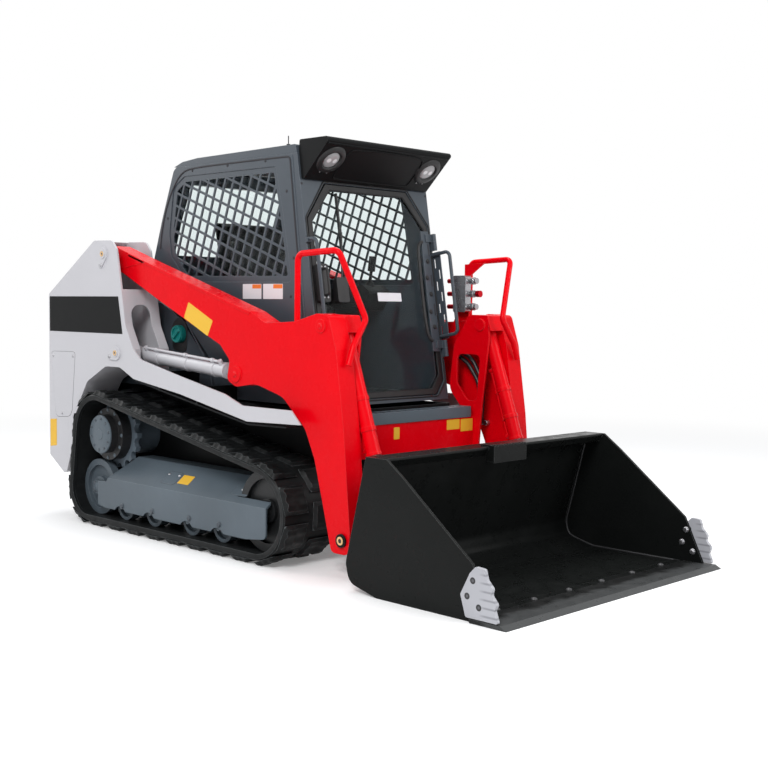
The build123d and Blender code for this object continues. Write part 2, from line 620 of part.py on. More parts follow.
# ---- lift arms --------------------------------------------------------------------------------
ARM_CORNERS = [(-1190, 1512, 60), (-832, 1404, 0), (9, 1158, 120), (122, 1106, 80),
               (327, 1117, 100), (475, 1155, 60), (548, 1148, 30), (597, 999, 80), (649, 657, 0), (693, 209, 30),
               (684, 108, 30), (577, 108, 30), (514, 335, 0), (463, 511, 100), (400, 640, 100), (245, 773, 120),
               (54, 822, 200), (-91, 800, 60), (-160, 830, 30), (-140, 925, 30), (-213, 996, 0),
               (-731, 1213, 0), (-1036, 1347, 0), (-1190, 1382, 60)]


def arm():
    """A lift arm: a welded box with a knee, a gusset plate inside the knee and two bored ends."""
    face = outline(ARM_CORNERS)
    arm_box = stand(face, ARM_IN, ARM_OUT)
    hollow = outline([(-1080, 1478, 0), (-832, 1392, 0), (9, 1146, 120), (122, 1094, 70), (327, 1105, 90),
                      (475, 1143, 50), (536, 1136, 20), (585, 999, 80), (637, 657, 0), (676, 260, 0), (550, 260, 0),
                      (526, 335, 0), (475, 515, 100), (410, 650, 100), (250, 785, 120), (54, 834, 200),
                      (-20, 830, 0), (-20, 930, 0), (-120, 940, 0), (-207, 1008, 0), (-731, 1226, 0),
                      (-1030, 1360, 0)])
    arm_box -= stand(hollow, ARM_IN + PLATE, ARM_OUT - PLATE)
    pocket = outline([(-240, 780, 0), (-36, 780, 0), (-36, 915, 30), (-130, 935, 0), (-240, 960, 0)])
    arm_box -= stand(pocket, ARM_IN + PLATE, ARM_OUT - PLATE)
    for centre, radius in ((ARM_PIVOT, PIN + 3), (BUCKET_PIN, PIN)):
        arm_box -= disc(centre, radius + RUNNING, ARM_IN - 1, ARM_OUT + 1)
    gusset = outline([(430, 1150, 40), (548, 1148, 30), (560, 1040, 0), (520, 700, 60), (500, 480, 0), (412, 480, 0),
                      (400, 660, 60), (300, 770, 80), (330, 1000, 100)])
    gusset -= outline([(352, 950, 30), (505, 950, 30), (484, 715, 30), (425, 715, 30), (352, 800, 30)])
    arm_box += stand(gusset, GUSSET_IN, GUSSET_IN + PLATE)
    arm_box += disc(TILT_BASE, PIN, GUSSET_IN + PLATE, ARM_IN)
    for y in (GUSSET_IN - 8, ARM_OUT):
        arm_box += disc(TILT_BASE, PIN + 8, y, y + 8)
    arm_box += disc(LIFT_EYE, 38, ARM_OUT, ARM_OUT + 8)
    cover = outline([(440, 1150, 0), (548, 1148, 12), (572, 1072, 0), (564, 1070, 0), (541, 1140.5, 8),
                     (440, 1142, 0)])
    return arm_box + stand(cover, GUSSET_IN, ARM_IN)


def crossmember():
    """The welded box tube that joins the two arms in front of the cab."""
    tube = block(400, 465, SEAT - GUSSET_IN, GUSSET_IN - SEAT, 482, 636)
    return tube - block(408, 457, -500, 500, 490, 628)


def step():
    """The toothed step plate on the crossmember."""
    plate = block(385, 471, -420, 420, 684, 690) + block(465, 471, -420, 420, 636 + SEAT, 684)
    plate += block(385, 391, -420, 420, 636 + SEAT, 684)
    for index in range(16):
        y = -375 + 50 * index
        plate -= block(395, 450, y - 14, y + 14, 600, 700)
    return plate


def guard_hoop():
    """The tube guard over an arm's knee."""
    path = [(300, 598, 1116.8), (302, 598, 1420), (568, 598, 1432), (618, 476, 1130), (626, 560, 1010),
            (628, 590, 930)]
    return bent_tube(path, 14, 35)


BLOCK_X = (266.0, 350.0)      # the coupler block, front to back
COUPLING_Z = (1190.0, 1256.0, 1322.0)


def couplers():
    """The block of quick couplers beside the left knee, and their dust caps."""
    y = 526
    block_x, front = BLOCK_X
    body = block(block_x, front, 505, 548 - SEAT, COUPLING_Z[0] - 28, COUPLING_Z[2] + 28)
    body = fillet(body.edges().filter_by(Axis.Y), 10)
    caps = []
    for z in COUPLING_Z:
        body += bar((front - 5, y, z), (front + 60, y, z), 15) + bar((front + 22, y, z), (front + 44, y, z), 19)
        caps.append(bar((block_x - SEAT, y, z), (block_x - 50, y, z), 12))
    caps.append(bar((front + 60 + SEAT, y, COUPLING_Z[1]), (front + 84, y, COUPLING_Z[1]), 17))
    return [body] + caps


def arm_hose(shift):
    """A hose inside the left knee, from a port on the arm's inner face down to another."""
    y, wall = 486, ARM_IN - SEAT
    route = [(292, wall, 985 - shift), (292, y, 985 - shift), (420 - shift, y, 925 - shift),
             (496 - shift, y, 800), (486 - shift, y, 600), (486 - shift, wall, 600)]
    return bent_tube(route, 10.5, [28, 120, 120, 28])


def lift_arms():
    """Both arms with what is fixed to them."""
    save_pair("lift_arm", arm())
    save("arm_crossmember", crossmember())
    save("front_step", step())
    hoop = guard_hoop()
    save("guard_hoops", hoop, mirrored(hoop))
    bracket = outline([(235, 1112.5, 0), (317, 1116.9, 0), (338, 1120.6, 0), (338, 1345, 20), (395, 1385, 20),
                       (440, 1414, 0), (306, 1408, 0), (306, 1300, 0), (278, 1300, 0), (272, 1180, 20)])
    save("coupler_bracket", stand(bracket, 548, 556))
    save("couplers", *couplers())
    save("arm_hoses", arm_hose(0), arm_hose(26))


# ---- cylinders --------------------------------------------------------------------------------
def barrel(base, eye, y_middle, outer, rod, length, half_width):
    """A cylinder barrel with its base eye and a bore for the rod."""
    run = (eye[0] - base[0], eye[1] - base[1])
    start = (base[0], y_middle, base[1])
    end = along(base, eye, length)
    body = bar((along(base, eye, 30)[0], y_middle, along(base, eye, 30)[1]), (end[0], y_middle, end[1]), outer)
    body += disc(base, PIN + 14, y_middle - half_width, y_middle + half_width)
    hollow_start = along(base, eye, 60)
    body -= bar((hollow_start[0], y_middle, hollow_start[1]), (end[0] + run[0], y_middle, end[1] + run[1]),
                rod + RUNNING)
    return body - disc(base, PIN + RUNNING, y_middle - 100, y_middle + 100)


def piston_rod(base, eye, y_middle, rod, inner_end, eye_radius, half_width):
    """A piston rod with its eye. The eye's pin is carried by the piece it pushes."""
    start = along(base, eye, inner_end)
    shaft = bar((start[0], y_middle, start[1]), (eye[0], y_middle, eye[1]), rod)
    shaft += disc(eye, eye_radius, y_middle - half_width, y_middle + half_width)
    return shaft - disc(eye, eye_radius - 12, y_middle - 100, y_middle + 100)


def hard_line(base, eye, y_middle, outer, side, lift, start, end):
    """A steel pipe clamped along a barrel, with a port at each end; side and lift set where it runs."""
    run_x, run_z = along((0, 0), (eye[0] - base[0], eye[1] - base[1]), 1)
    reach = hypot(side, lift)

    def spot(distance, out):
        """A point beside the barrel, at a distance along it and out from its axis."""
        x, z = along(base, eye, distance)
        return (x - run_z * lift * out / reach, y_middle + side * out / reach, z + run_x * lift * out / reach)

    far = outer + 14
    pipe = bar(spot(start - 12, far), spot(end + 12, far), 7)
    for place in (start, end):
        pipe += bar(spot(place, outer - 3), spot(place, far + 8), 12)
    return pipe


def cylinders():
    """Lift cylinders below the arms, tilt cylinders inside the knees."""
    save_pair("lift_barrel", barrel(LIFT_BASE, LIFT_EYE, LIFT_Y, LIFT_BORE_OUT, LIFT_ROD, 800, 36)
              + hard_line(LIFT_BASE, LIFT_EYE, LIFT_Y, LIFT_BORE_OUT, 25, 35, 150, 770))
    save_pair("lift_rod", piston_rod(LIFT_BASE, LIFT_EYE, LIFT_Y, LIFT_ROD, 80, 36, 30))
    save_pair("tilt_barrel", barrel(TILT_BASE, TILT_EYE, TILT_Y, TILT_BORE_OUT, TILT_ROD, 600, 34)
              + hard_line(TILT_BASE, TILT_EYE, TILT_Y, TILT_BORE_OUT, 0, -44, 230, 570))
    save_pair("tilt_rod", piston_rod(TILT_BASE, TILT_EYE, TILT_Y, TILT_ROD, 155, 18, 17))


# ---- bucket -----------------------------------------------------------------------------------
def back_x(z):
    """The rear face of the bucket's back plate at a height."""
    return 809 + 0.25 * (z - 119)


def bucket_step():
    """The toothed step at the middle of the bucket's top edge."""
    low, top = 570, 584
    plate = block(985, 1062, -115, 115, low, top) + block(1056, 1062, -115, 115, 505, top)
    for index in range(11):
        y = -110 + 22 * index
        plate -= Pos(1062, y, top) * Rot(45, 0, 0) * Box(44, 9, 9)
    for y in (-115, 109):
        plate += block(1015, 1060, y, y + 6, 510, low + 2)
    return plate


def bucket_shell():
    """The bucket: back, heel and floor in one bent sheet, a top box and two side plates."""
    half = BUCKET_WIDTH / 2 - 16
    outer = [(back_x(575), 575, 0), (back_x(119), 119, 60), (830, 40, 60), (991, 0, 60), (1500, 0, 0),
             (1500, 10, 0), (994, 10, 60), (838, 49, 50), (back_x(119) + 9, 121, 50), (back_x(575) + 9, 575, 0)]
    sheet = stand(outline(outer), -half, half)
    side = outline([(back_x(575), 575, 0), (back_x(119), 119, 60), (830, 40, 60), (991, 0, 60), (1500, 0, 0),
                    (1500, EDGE_THICK + SEAT, 0), (1600, EDGE_THICK + SEAT, 0), (1500, 222, 0),
                    (1134, 508, 20), (1040, 575, 10)])
    side_plate = stand(side, half - 12, half)
    top = stand(outline([(back_x(575), 575, 0), (1040, 575, 8), (1010, 535, 8), (back_x(520) + 4, 520, 0)]),
                12 - half, half - 12)
    return sheet + side_plate + mirrored(side_plate) + top + bucket_step()


PLATE_Z = (130.0, 560.0)      # bottom and top of the quick-attach frame
PLATE_HALF = 600.0
PLATE_DEPTH = 46.0
NOTCH = (458.0, 542.0)        # each tilt cylinder swings through an open notch between these widths
NOTCH_FOOT = 285.0


def plate_slab(z_low, z_high, depth_low, depth_high):
    """A slab parallel to the bucket's back, between two depths behind it."""
    return outline([(back_x(z_low) - depth_low, z_low, 0), (back_x(z_high) - depth_low, z_high, 0),
                    (back_x(z_high) - depth_high, z_high, 0), (back_x(z_low) - depth_high, z_low, 0)])


def attachment_plate():
    """The quick-attach frame between the arms and the bucket: a ribbed tray with ears and pins."""
    low, high = PLATE_Z
    gap = 1.0
    deep = gap + PLATE_DEPTH
    plate = stand(plate_slab(low, high, gap, gap + 12), -PLATE_HALF, PLATE_HALF)
    plate += stand(plate_slab(high - 14, high, gap, deep), -PLATE_HALF, PLATE_HALF)
    plate += stand(plate_slab(low, low + 30, gap, deep), -PLATE_HALF, PLATE_HALF)
    for y in (-PLATE_HALF, -NOTCH[1] - 10, -NOTCH[0], -120, 110, NOTCH[0] - 10, NOTCH[1], PLATE_HALF - 10):
        plate += stand(plate_slab(low, high, gap, deep), y, y + 10)
    x, z = TILT_EYE
    upper = outline([(back_x(235) - deep, 235, 0), (x - 32, z - 38, 34), (x - 32, z + 32, 34),
                     (back_x(400) - deep, 400, 0), (back_x(400) - 10, 400, 0), (back_x(235) - 10, 235, 0)])
    x, z = BUCKET_PIN
    lower = outline([(back_x(low) - deep, low, 0), (x - 38, z - 32, 36), (x - 38, z + 40, 36),
                     (back_x(240) - deep, 240, 0), (back_x(240) - 10, 240, 0), (back_x(low) - 10, low, 0)])
    for side in (1, -1):
        plate -= block(700, 1000, *sorted((side * NOTCH[0], side * NOTCH[1])), NOTCH_FOOT, 700)
        for y in TILT_EARS:
            plate += stand(upper, *sorted((side * y, side * (y + 12))))
            plate += disc(TILT_EYE, 15, *sorted((side * y, side * (y + 12))))
        plate += stand(lower, *sorted((side * 522, side * 534)))
        plate += disc(BUCKET_PIN, PIN, *sorted((side * 534, side * (ARM_OUT + 3))))
        plate += disc(BUCKET_PIN, PIN + 8, *sorted((side * (ARM_OUT + 3), side * (ARM_OUT + 11))))
    return plate


def bucket():
    """Attachment plate, bucket and its wear parts."""
    save("attachment_plate", attachment_plate())
    save("bucket_shell", bucket_shell())
    half = BUCKET_WIDTH / 2
    edge = outline([(1500 + SEAT, 0, 0), (NOSE, 0, 0), (NOSE - 30, EDGE_THICK, 0), (1500 + SEAT, EDGE_THICK, 0)])
    save("cutting_edge", stand(edge, -half, half))
    cutter = outline([(1455, 104, 10), (1482, 20, 10), (1640, 20, 6), (1622, 66, 12), (1634, 92, 12),
                      (1606, 122, 12), (1612, 148, 12), (1584, 176, 12), (1572, 216, 10), (1528, 219, 10),
                      (1500, 190, 10)])
    side = stand(cutter, half - 16 + SEAT, half)
    save("side_cutters", side, mirrored(side))


def build():
    """Write every sub-part."""
    os.makedirs("parts", exist_ok=True)
    running_gear()
    chassis()
    cab()
    cab_door()
    lift_arms()
    cylinders()
    bucket()


build()
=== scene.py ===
import json
import bmesh
import bpy
import numpy as np
from math import atan2, cos, pi, radians, sin
from mathutils import Matrix, Vector

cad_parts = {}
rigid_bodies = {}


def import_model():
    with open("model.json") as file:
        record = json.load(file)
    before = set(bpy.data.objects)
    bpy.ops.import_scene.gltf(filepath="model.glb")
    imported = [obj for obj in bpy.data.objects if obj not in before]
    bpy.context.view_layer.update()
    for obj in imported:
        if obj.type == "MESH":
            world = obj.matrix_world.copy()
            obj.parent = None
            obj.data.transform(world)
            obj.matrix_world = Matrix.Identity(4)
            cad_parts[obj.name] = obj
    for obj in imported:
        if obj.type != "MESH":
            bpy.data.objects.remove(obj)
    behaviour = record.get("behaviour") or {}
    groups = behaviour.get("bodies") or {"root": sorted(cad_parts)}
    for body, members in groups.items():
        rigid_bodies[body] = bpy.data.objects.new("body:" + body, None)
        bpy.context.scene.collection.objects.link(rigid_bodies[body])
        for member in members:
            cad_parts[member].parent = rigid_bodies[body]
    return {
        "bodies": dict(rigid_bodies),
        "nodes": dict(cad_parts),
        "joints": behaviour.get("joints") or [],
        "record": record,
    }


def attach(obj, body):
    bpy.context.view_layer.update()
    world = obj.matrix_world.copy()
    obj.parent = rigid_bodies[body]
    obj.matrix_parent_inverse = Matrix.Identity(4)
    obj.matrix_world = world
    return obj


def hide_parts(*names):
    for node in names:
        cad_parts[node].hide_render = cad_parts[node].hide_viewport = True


# A compact track loader: paint, rubber, glass and the small trim over its fixed steel model.
# Metres. +X is forward, +Y is the machine's left, +Z is up, and the ground is z = 0.

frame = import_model()
NODES = frame["nodes"]
bpy.context.scene.view_settings.view_transform = "Standard"
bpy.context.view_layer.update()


# ---- camera, floor and light ------------------------------------------------------------------
def camera():
    """A camera at the machine's right front corner, at about eye height."""
    yaw, pitch, roll = radians(44.427), radians(3.759), radians(0.606)
    forward = Vector((-sin(yaw) * cos(pitch), cos(yaw) * cos(pitch), -sin(pitch)))
    right = Vector((cos(yaw), sin(yaw), 0))
    up = right.cross(forward)
    right, up = right * cos(roll) + up * sin(roll), up * cos(roll) - right * sin(roll)
    data = bpy.data.cameras.new("camera")
    data.sensor_width = 36
    data.lens = 56.65
    eye = bpy.data.objects.new("camera", data)
    place = Matrix((right, up, -forward)).transposed().to_4x4()
    place.translation = (4.4099, -4.2269, 1.1965)
    eye.matrix_world = place
    bpy.context.collection.objects.link(eye)
    bpy.context.scene.camera = eye


def area_light(name, place, target, size, power):
    """A square soft lamp that points at a target."""
    data = bpy.data.lights.new(name, "AREA")
    data.size = size
    data.energy = power
    lamp = bpy.data.objects.new(name, data)
    lamp.location = place
    lamp.rotation_euler = (Vector(target) - Vector(place)).to_track_quat("-Z", "Y").to_euler()
    bpy.context.collection.objects.link(lamp)


def feed(tree, made, inputs):
    """Give a shader node's inputs their values, or other nodes' outputs."""
    for name, value in inputs.items():
        if isinstance(value, bpy.types.NodeSocket):
            tree.links.new(value, made.inputs[name])
        else:
            made.inputs[name].default_value = value


def node(tree, kind, inputs=(), **settings):
    """A shader node with its settings and its inputs."""
    made = tree.nodes.new("ShaderNode" + kind)
    for name, value in settings.items():
        setattr(made, name, value)
    feed(tree, made, dict(inputs))
    return made


def maths(tree, operation, *values):
    """The result of a sum on values and other nodes' outputs."""
    return node(tree, "Math", dict(enumerate(values)), operation=operation).outputs[0]


def ramp(tree, value, start, end, low=0.0, high=1.0, **settings):
    """A value between start and end, carried to between low and high, and held past both ends."""
    return node(tree, "MapRange", {0: value, 1: start, 2: end, 3: low, 4: high}, **settings).outputs[0]


def parts_of(tree, place):
    """The x, y and z of a place."""
    return node(tree, "SeparateXYZ", {0: place}).outputs


def seen_rays(tree):
    """1 for rays from the camera, in mirrors and through glass, which see the white surroundings."""
    path = node(tree, "LightPath").outputs
    seen = maths(tree, "MAXIMUM", path["Is Camera Ray"], path["Is Glossy Ray"])
    return maths(tree, "MAXIMUM", seen, path["Is Transmission Ray"])


FILL = 0.50                   # light from the whole room
FADE = (3.2, 8.0)             # distances between which the floor fades to the white surroundings


def room():
    """White surroundings for what looks at them, and a soft even fill for the rest."""
    world = bpy.data.worlds.new("studio")
    bpy.context.scene.world = world
    world.use_nodes = True
    tree = world.node_tree
    tree.nodes.clear()
    fill = node(tree, "Background", {"Color": (0.95, 0.97, 1.0, 1), "Strength": FILL})
    white = node(tree, "Background", {"Color": (1, 1, 1, 1), "Strength": 1.0})
    mix = node(tree, "MixShader", {0: seen_rays(tree), 1: fill.outputs[0], 2: white.outputs[0]})
    node(tree, "OutputWorld", {"Surface": mix.outputs[0]})


def floor():
    """A pale floor that keeps the machine's shadow and fades to white far away."""
    half = 40.0
    corners = [(-half, -half, 0), (half, -half, 0), (half, half, 0), (-half, half, 0)]
    mesh = bpy.data.meshes.new("floor")
    mesh.from_pydata(corners, [], [(0, 1, 2, 3)])
    ground = bpy.data.objects.new("floor", mesh)
    bpy.context.collection.objects.link(ground)
    pale = bpy.data.materials.new("pale_floor")
    pale.use_nodes = True
    tree = pale.node_tree
    tree.nodes.clear()
    place = node(tree, "TexCoord").outputs["Object"]
    distance = node(tree, "VectorMath", {0: place}, operation="LENGTH").outputs["Value"]
    far = ramp(tree, distance, *FADE, interpolation_type="SMOOTHSTEP")
    bounce = node(tree, "BsdfDiffuse", {"Color": (0.72, 0.72, 0.72, 1)})
    near = node(tree, "BsdfDiffuse", {"Color": (0.9, 0.9, 0.9, 1)})
    lift = node(tree, "Emission", {"Color": (1, 1, 1, 1), "Strength": 0.16})
    bright = node(tree, "AddShader", {0: near.outputs[0], 1: lift.outputs[0]})
    white = node(tree, "Emission", {"Color": (1, 1, 1, 1), "Strength": 1.0})
    shown = node(tree, "MixShader", {0: far, 1: bright.outputs[0], 2: white.outputs[0]})
    mix = node(tree, "MixShader", {0: seen_rays(tree), 1: bounce.outputs[0], 2: shown.outputs[0]})
    node(tree, "OutputMaterial", {"Surface": mix.outputs[0]})
    mesh.materials.append(pale)


def stage():
    """Pale floor, white surroundings and soft lamps."""
    room()
    floor()
    middle = (0, 0, 0.9)
    area_light("key", (3.4, -5.8, 5.6), middle, 2.4, 320)
    area_light("front", (6.5, 2.5, 4.0), middle, 2.6, 150)
    area_light("top", (-1.0, 0.5, 7.0), middle, 3.0, 230)
    area_light("back", (-6.0, -3.0, 4.0), middle, 3.0, 100)


# ---- shapes: a shape is (points, four-cornered faces), both arrays -------------------------------
def surface(grid, wrap_rows=False, wrap_columns=True):
    """A shape from a grid of points (rows, columns, 3).

    The face at (i, j) joins the points (i, j), (i + 1, j), (i + 1, j + 1) and (i, j + 1).
    """
    rows, columns = grid.shape[:2]
    i, j = np.meshgrid(np.arange(rows if wrap_rows else rows - 1),
                       np.arange(columns if wrap_columns else columns - 1), indexing="ij")
    below, beside = (i + 1) % rows, (j + 1) % columns
    corners = (i * columns + j, below * columns + j, below * columns + beside, i * columns + beside)
    faces = np.stack(corners, -1)
    return grid.reshape(-1, 3), faces.reshape(-1, 4)


def join(*shapes):
    """One shape from several: each one's face numbers go up by the points before it."""
    starts = np.cumsum([0] + [len(points) for points, _ in shapes[:-1]])
    return (np.concatenate([points for points, _ in shapes]),
            np.concatenate([faces + start for (_, faces), start in zip(shapes, starts)]))


def copies(shape, frames):
    """The shape once in each frame (origin, x, y, z): point = origin + a x + b y + c z."""
    points, faces = shape
    frames = np.asarray(frames, float)
    placed = frames[:, None, 0] + points @ frames[:, 1:]
    shift = np.arange(len(frames))[:, None, None] * len(points)
    return placed.reshape(-1, 3), (faces[None] + shift).reshape(-1, 4)


def turned(profile, sides=24, wrap=False):
    """A turned shape about its own Z: point = (r cos a, r sin a, h) for each (r, h) of the profile."""
    r, h = np.array(profile, float).T
    a = np.linspace(0, 2 * pi, sides, endpoint=False)
    heights = np.broadcast_to(h[:, None], (len(r), sides))
    return surface(np.stack((r[:, None] * np.cos(a), r[:, None] * np.sin(a), heights), -1), wrap_rows=wrap)


def rounded(corners, radius, steps=5):
    """A closed outline with rounded corners: (1-t)^2 a + 2t(1-t) c + t^2 b past each corner c."""
    c = np.asarray(corners, float)
    radius = np.broadcast_to(np.asarray(radius, float), len(c))[:, None]
    to_last, to_next = np.roll(c, 1, 0) - c, np.roll(c, -1, 0) - c
    a = c + radius * to_last / np.linalg.norm(to_last, axis=1, keepdims=True)
    b = c + radius * to_next / np.linalg.norm(to_next, axis=1, keepdims=True)
    t = np.linspace(0, 1, steps)[:, None, None]
    return ((1 - t) ** 2 * a + 2 * t * (1 - t) * c + t ** 2 * b).transpose(1, 0, 2).reshape(-1, 2)


def plate(rim, low, high, edge=0.0006):
    """A flat plate with chamfered edges, from rings of its rim.

    A drawn-in ring is middle + (rim - middle) (1 - edge / |rim - middle|), and the faces close in the middle.
    """
    rim = np.asarray(rim, float)
    middle = rim.mean(0)
    arm = rim - middle
    inner = middle + arm * (1 - edge / np.linalg.norm(arm, axis=1, keepdims=True))
    centre = np.broadcast_to(middle, rim.shape)
    rings = ((centre, low), (inner, low), (rim, low + edge),
             (rim, high - edge), (inner, high), (centre, high))
    return surface(np.stack([np.column_stack((ring, np.full(len(ring), h))) for ring, h in rings]))


def rect(u_low, u_high, v_low, v_high, radius=0.004):
    """The outline of a rectangle with rounded corners."""
    return rounded([(u_low, v_low), (u_high, v_low), (u_high, v_high), (u_low, v_high)], radius)


def box(u_low, u_high, v_low, v_high, low, high, edge=0.0006):
    """A chamfered block."""
    return plate([(u_low, v_low), (u_high, v_low), (u_high, v_high), (u_low, v_high)], low, high, edge)


def tube(path, radius, across=(0, 1, 0), sides=12, closed=False):
    """A round tube, in rings square to the path: point = path + radius (cos a side + sin a other).

    side = heading x across and other = heading x side, and both ends close on the path.
    """
    path = np.asarray(path, float)
    if closed:
        heading = np.roll(path, -1, 0) - np.roll(path, 1, 0)
    else:
        heading = np.gradient(path, axis=0)
    heading /= np.linalg.norm(heading, axis=1, keepdims=True)
    side = np.cross(heading, across)
    side /= np.linalg.norm(side, axis=1, keepdims=True)
    other = np.cross(heading, side)
    a = np.linspace(0, 2 * pi, sides, endpoint=False)[None, :, None]
    radius = np.broadcast_to(np.asarray(radius, float), len(path))[:, None, None]
    rings = path[:, None] + radius * (np.cos(a) * side[:, None] + np.sin(a) * other[:, None])
    if closed:
        return surface(rings, wrap_rows=True)
    ends = [np.broadcast_to(path[i], (1, sides, 3)) for i in (0, -1)]
    return surface(np.concatenate((ends[0], rings, ends[1])))


def eased(points, steps=8, closed=False):
    """A smooth line near the points: the quadratic B-spline (1-t)^2/2 a + (1/2 + t - t^2) b + t^2/2 c."""
    p = np.asarray(points, float)
    if not closed:
        p = np.concatenate((p[:1], p, p[-1:]))
    a, b, c = (p, np.roll(p, -1, 0), np.roll(p, -2, 0)) if closed else (p[:-2], p[1:-1], p[2:])
    t = np.linspace(0, 1, steps, endpoint=False)[:, None, None]
    line = 0.5 * (1 - t) ** 2 * a + (0.5 + t - t ** 2) * b + 0.5 * t ** 2 * c
    line = line.transpose(1, 0, 2).reshape(-1, p.shape[1])
    return line if closed else np.concatenate((line, p[-1:]))


def bolt(size, height=0.6):
    """A hexagon bolt on a washer, both turned shapes; size is half its width, and height a share of size."""
    washer = turned([(0, 0), (1.35 * size, 0), (1.35 * size, 0.14 * size), (0, 0.14 * size)], 16)
    top = height * size
    head = turned([(0, 0.1 * size), (1.1 * size, 0.1 * size), (1.1 * size, top - 0.15 * size),
                   (0.92 * size, top), (0, top)], 6)
    return join(washer, head)


def dome(size, height=0.5):
    """A low round head: the turned arc (size cos t, size height sin t)."""
    arc = [(size * cos(t), size * height * sin(t)) for t in np.linspace(0, pi / 2, 5)]
    return turned([(0, 0), *arc], 16)


# ---- places ------------------------------------------------------------------------------------
BOTH = (-1, 1)                # right and left

# The cab's flat front: its foot's x and z, and how far it leans back for each metre up.
FRONT_FOOT, FRONT_LOW, FRONT_LEAN = 0.302, 0.728, 0.1646
LEAN = atan2(FRONT_LEAN, 1)
FRONT = [(FRONT_FOOT, 0, FRONT_LOW), (0, 1, 0), (-sin(LEAN), 0, cos(LEAN)), (cos(LEAN), 0, sin(LEAN))]


def side(y, sign):
    """The frame of a side face: (x, z) on the plane at y, with its height outwards."""
    return [(0, sign * y, 0), (1, 0, 0), (0, 0, 1), (0, sign, 0)]


def at(base, points):
    """Frames at points (u, v) of a plane's frame, or (u, v, height)."""
    points = np.asarray(points, float)
    if points.shape[1] == 2:
        points = np.column_stack((points, np.zeros(len(points))))
    base = np.asarray(base, float)
    origins = base[0] + points @ base[1:]
    return np.concatenate((origins[:, None], np.broadcast_to(base[1:], (len(points), 3, 3))), 1)


def on_sides(shape, y):
    """A shape drawn in (x, z, height), on the faces at y of both sides."""
    return copies(shape, [side(y, sign) for sign in BOTH])


def sides_at(y, points):
    """Frames at points (x, z) of the faces at y of both sides."""
    return np.concatenate([at(side(y, sign), points) for sign in BOTH])


def bolts_on_sides(size, y, points, kind=bolt):
    """The same fasteners on both sides."""
    return copies(kind(size), sides_at(y, points))


def level(z):
    """The frame of a level face at height z: (x, y), with its height upwards."""
    return [(0, 0, z), (1, 0, 0), (0, 1, 0), (0, 0, 1)]


def upright(x, ahead):
    """The frame of an upright face across the machine at x: (y, z), its height ahead (1) or behind (-1)."""
    return [(x, 0, 0), (0, 1, 0), (0, 0, 1), (ahead, 0, 0)]


def lines_on_sides(path, radius):
    """A thin round line along a path on the left, and the same on the right."""
    return join(*[tube(path * (1, sign, 1), radius, sides=8) for sign in BOTH])


def on_front(shape):
    """A shape drawn in (y, height along the cab's leaning front, distance ahead)."""
    return copies(shape, [FRONT])


# ---- shared effects ------------------------------------------------------------------------------
def effect(name, inputs, outputs):
    """An empty node group with its sockets, and its two end nodes."""
    tree = bpy.data.node_groups.new(name, "ShaderNodeTree")
    for label, kind, value in inputs:
        made = tree.interface.new_socket(name=label, in_out="INPUT", socket_type=kind)
        if value is not None:
            made.default_value = value
    for label, kind in outputs:
        tree.interface.new_socket(name=label, in_out="OUTPUT", socket_type=kind)
    return tree, tree.nodes.new("NodeGroupInput"), tree.nodes.new("NodeGroupOutput")


FLOAT, VECTOR = "NodeSocketFloat", "NodeSocketVector"


def patches_effect():
    """Slow uneven patches: a soft noise, spread between two values."""
    tree, start, end = effect("patches", [("Place", VECTOR, None), ("Scale", FLOAT, 3.0), ("Low", FLOAT, 0.0),
                                          ("High", FLOAT, 1.0)], [("Value", FLOAT)])
    given = start.outputs
    noise = node(tree, "TexNoise", {"Vector": given["Place"], "Scale": given["Scale"], "Detail": 4.0,
                                    "Roughness": 0.55}).outputs[0]
    feed(tree, end, {"Value": ramp(tree, noise, 0.3, 0.7, given["Low"], given["High"])})
    return tree


def skin_effect():
    """The fine relief of a coat of paint, a casting or rubber: noise times depth, as a height in metres."""
    tree, start, end = effect("skin", [("Place", VECTOR, None), ("Scale", FLOAT, 300.0),
                                       ("Depth", FLOAT, 1e-5)], [("Height", FLOAT)])
    given = start.outputs
    noise = node(tree, "TexNoise", {"Vector": given["Place"], "Scale": given["Scale"],
                                    "Detail": 2.0}).outputs[0]
    feed(tree, end, {"Height": maths(tree, "MULTIPLY", noise, given["Depth"])})
    return tree


def edges_effect():
    """Softened edges: a rounded normal, and a mask where it leaves the true one, which the finishes use for
    lighter edges that are partly wear and partly a painted highlight.
    """
    tree, start, end = effect("edges", [("Radius", FLOAT, 0.003)], [("Mask", FLOAT), ("Normal", VECTOR)])
    soft = node(tree, "Bevel", {"Radius": start.outputs["Radius"]}, samples=4).outputs[0]
    true = node(tree, "NewGeometry").outputs["Normal"]
    likeness = node(tree, "VectorMath", {0: soft, 1: true}, operation="DOT_PRODUCT").outputs["Value"]
    feed(tree, end, {"Mask": ramp(tree, likeness, 0.985, 0.80), "Normal": soft})
    return tree


PATCHES, SKIN, EDGES = patches_effect(), skin_effect(), edges_effect()


# ---- finishes ----------------------------------------------------------------------------------
def blank(name):
    """A material, its tree, its Principled shader and the place on the machine."""
    material = bpy.data.materials.new(name)
    material.use_nodes = True
    tree = material.node_tree
    return material, tree, tree.nodes["Principled BSDF"], node(tree, "TexCoord").outputs["Object"]


def mixed(tree, factor, first, second):
    """A colour between two, each a colour or another node's output."""
    first, second = (value if isinstance(value, bpy.types.NodeSocket) else (*value, 1)
                     for value in (first, second))
    return node(tree, "Mix", {0: factor, 6: first, 7: second}, data_type="RGBA").outputs[2]


def shade(colour, by):
    """A colour made lighter or darker."""
    return tuple(min(1.0, part * by) for part in colour)


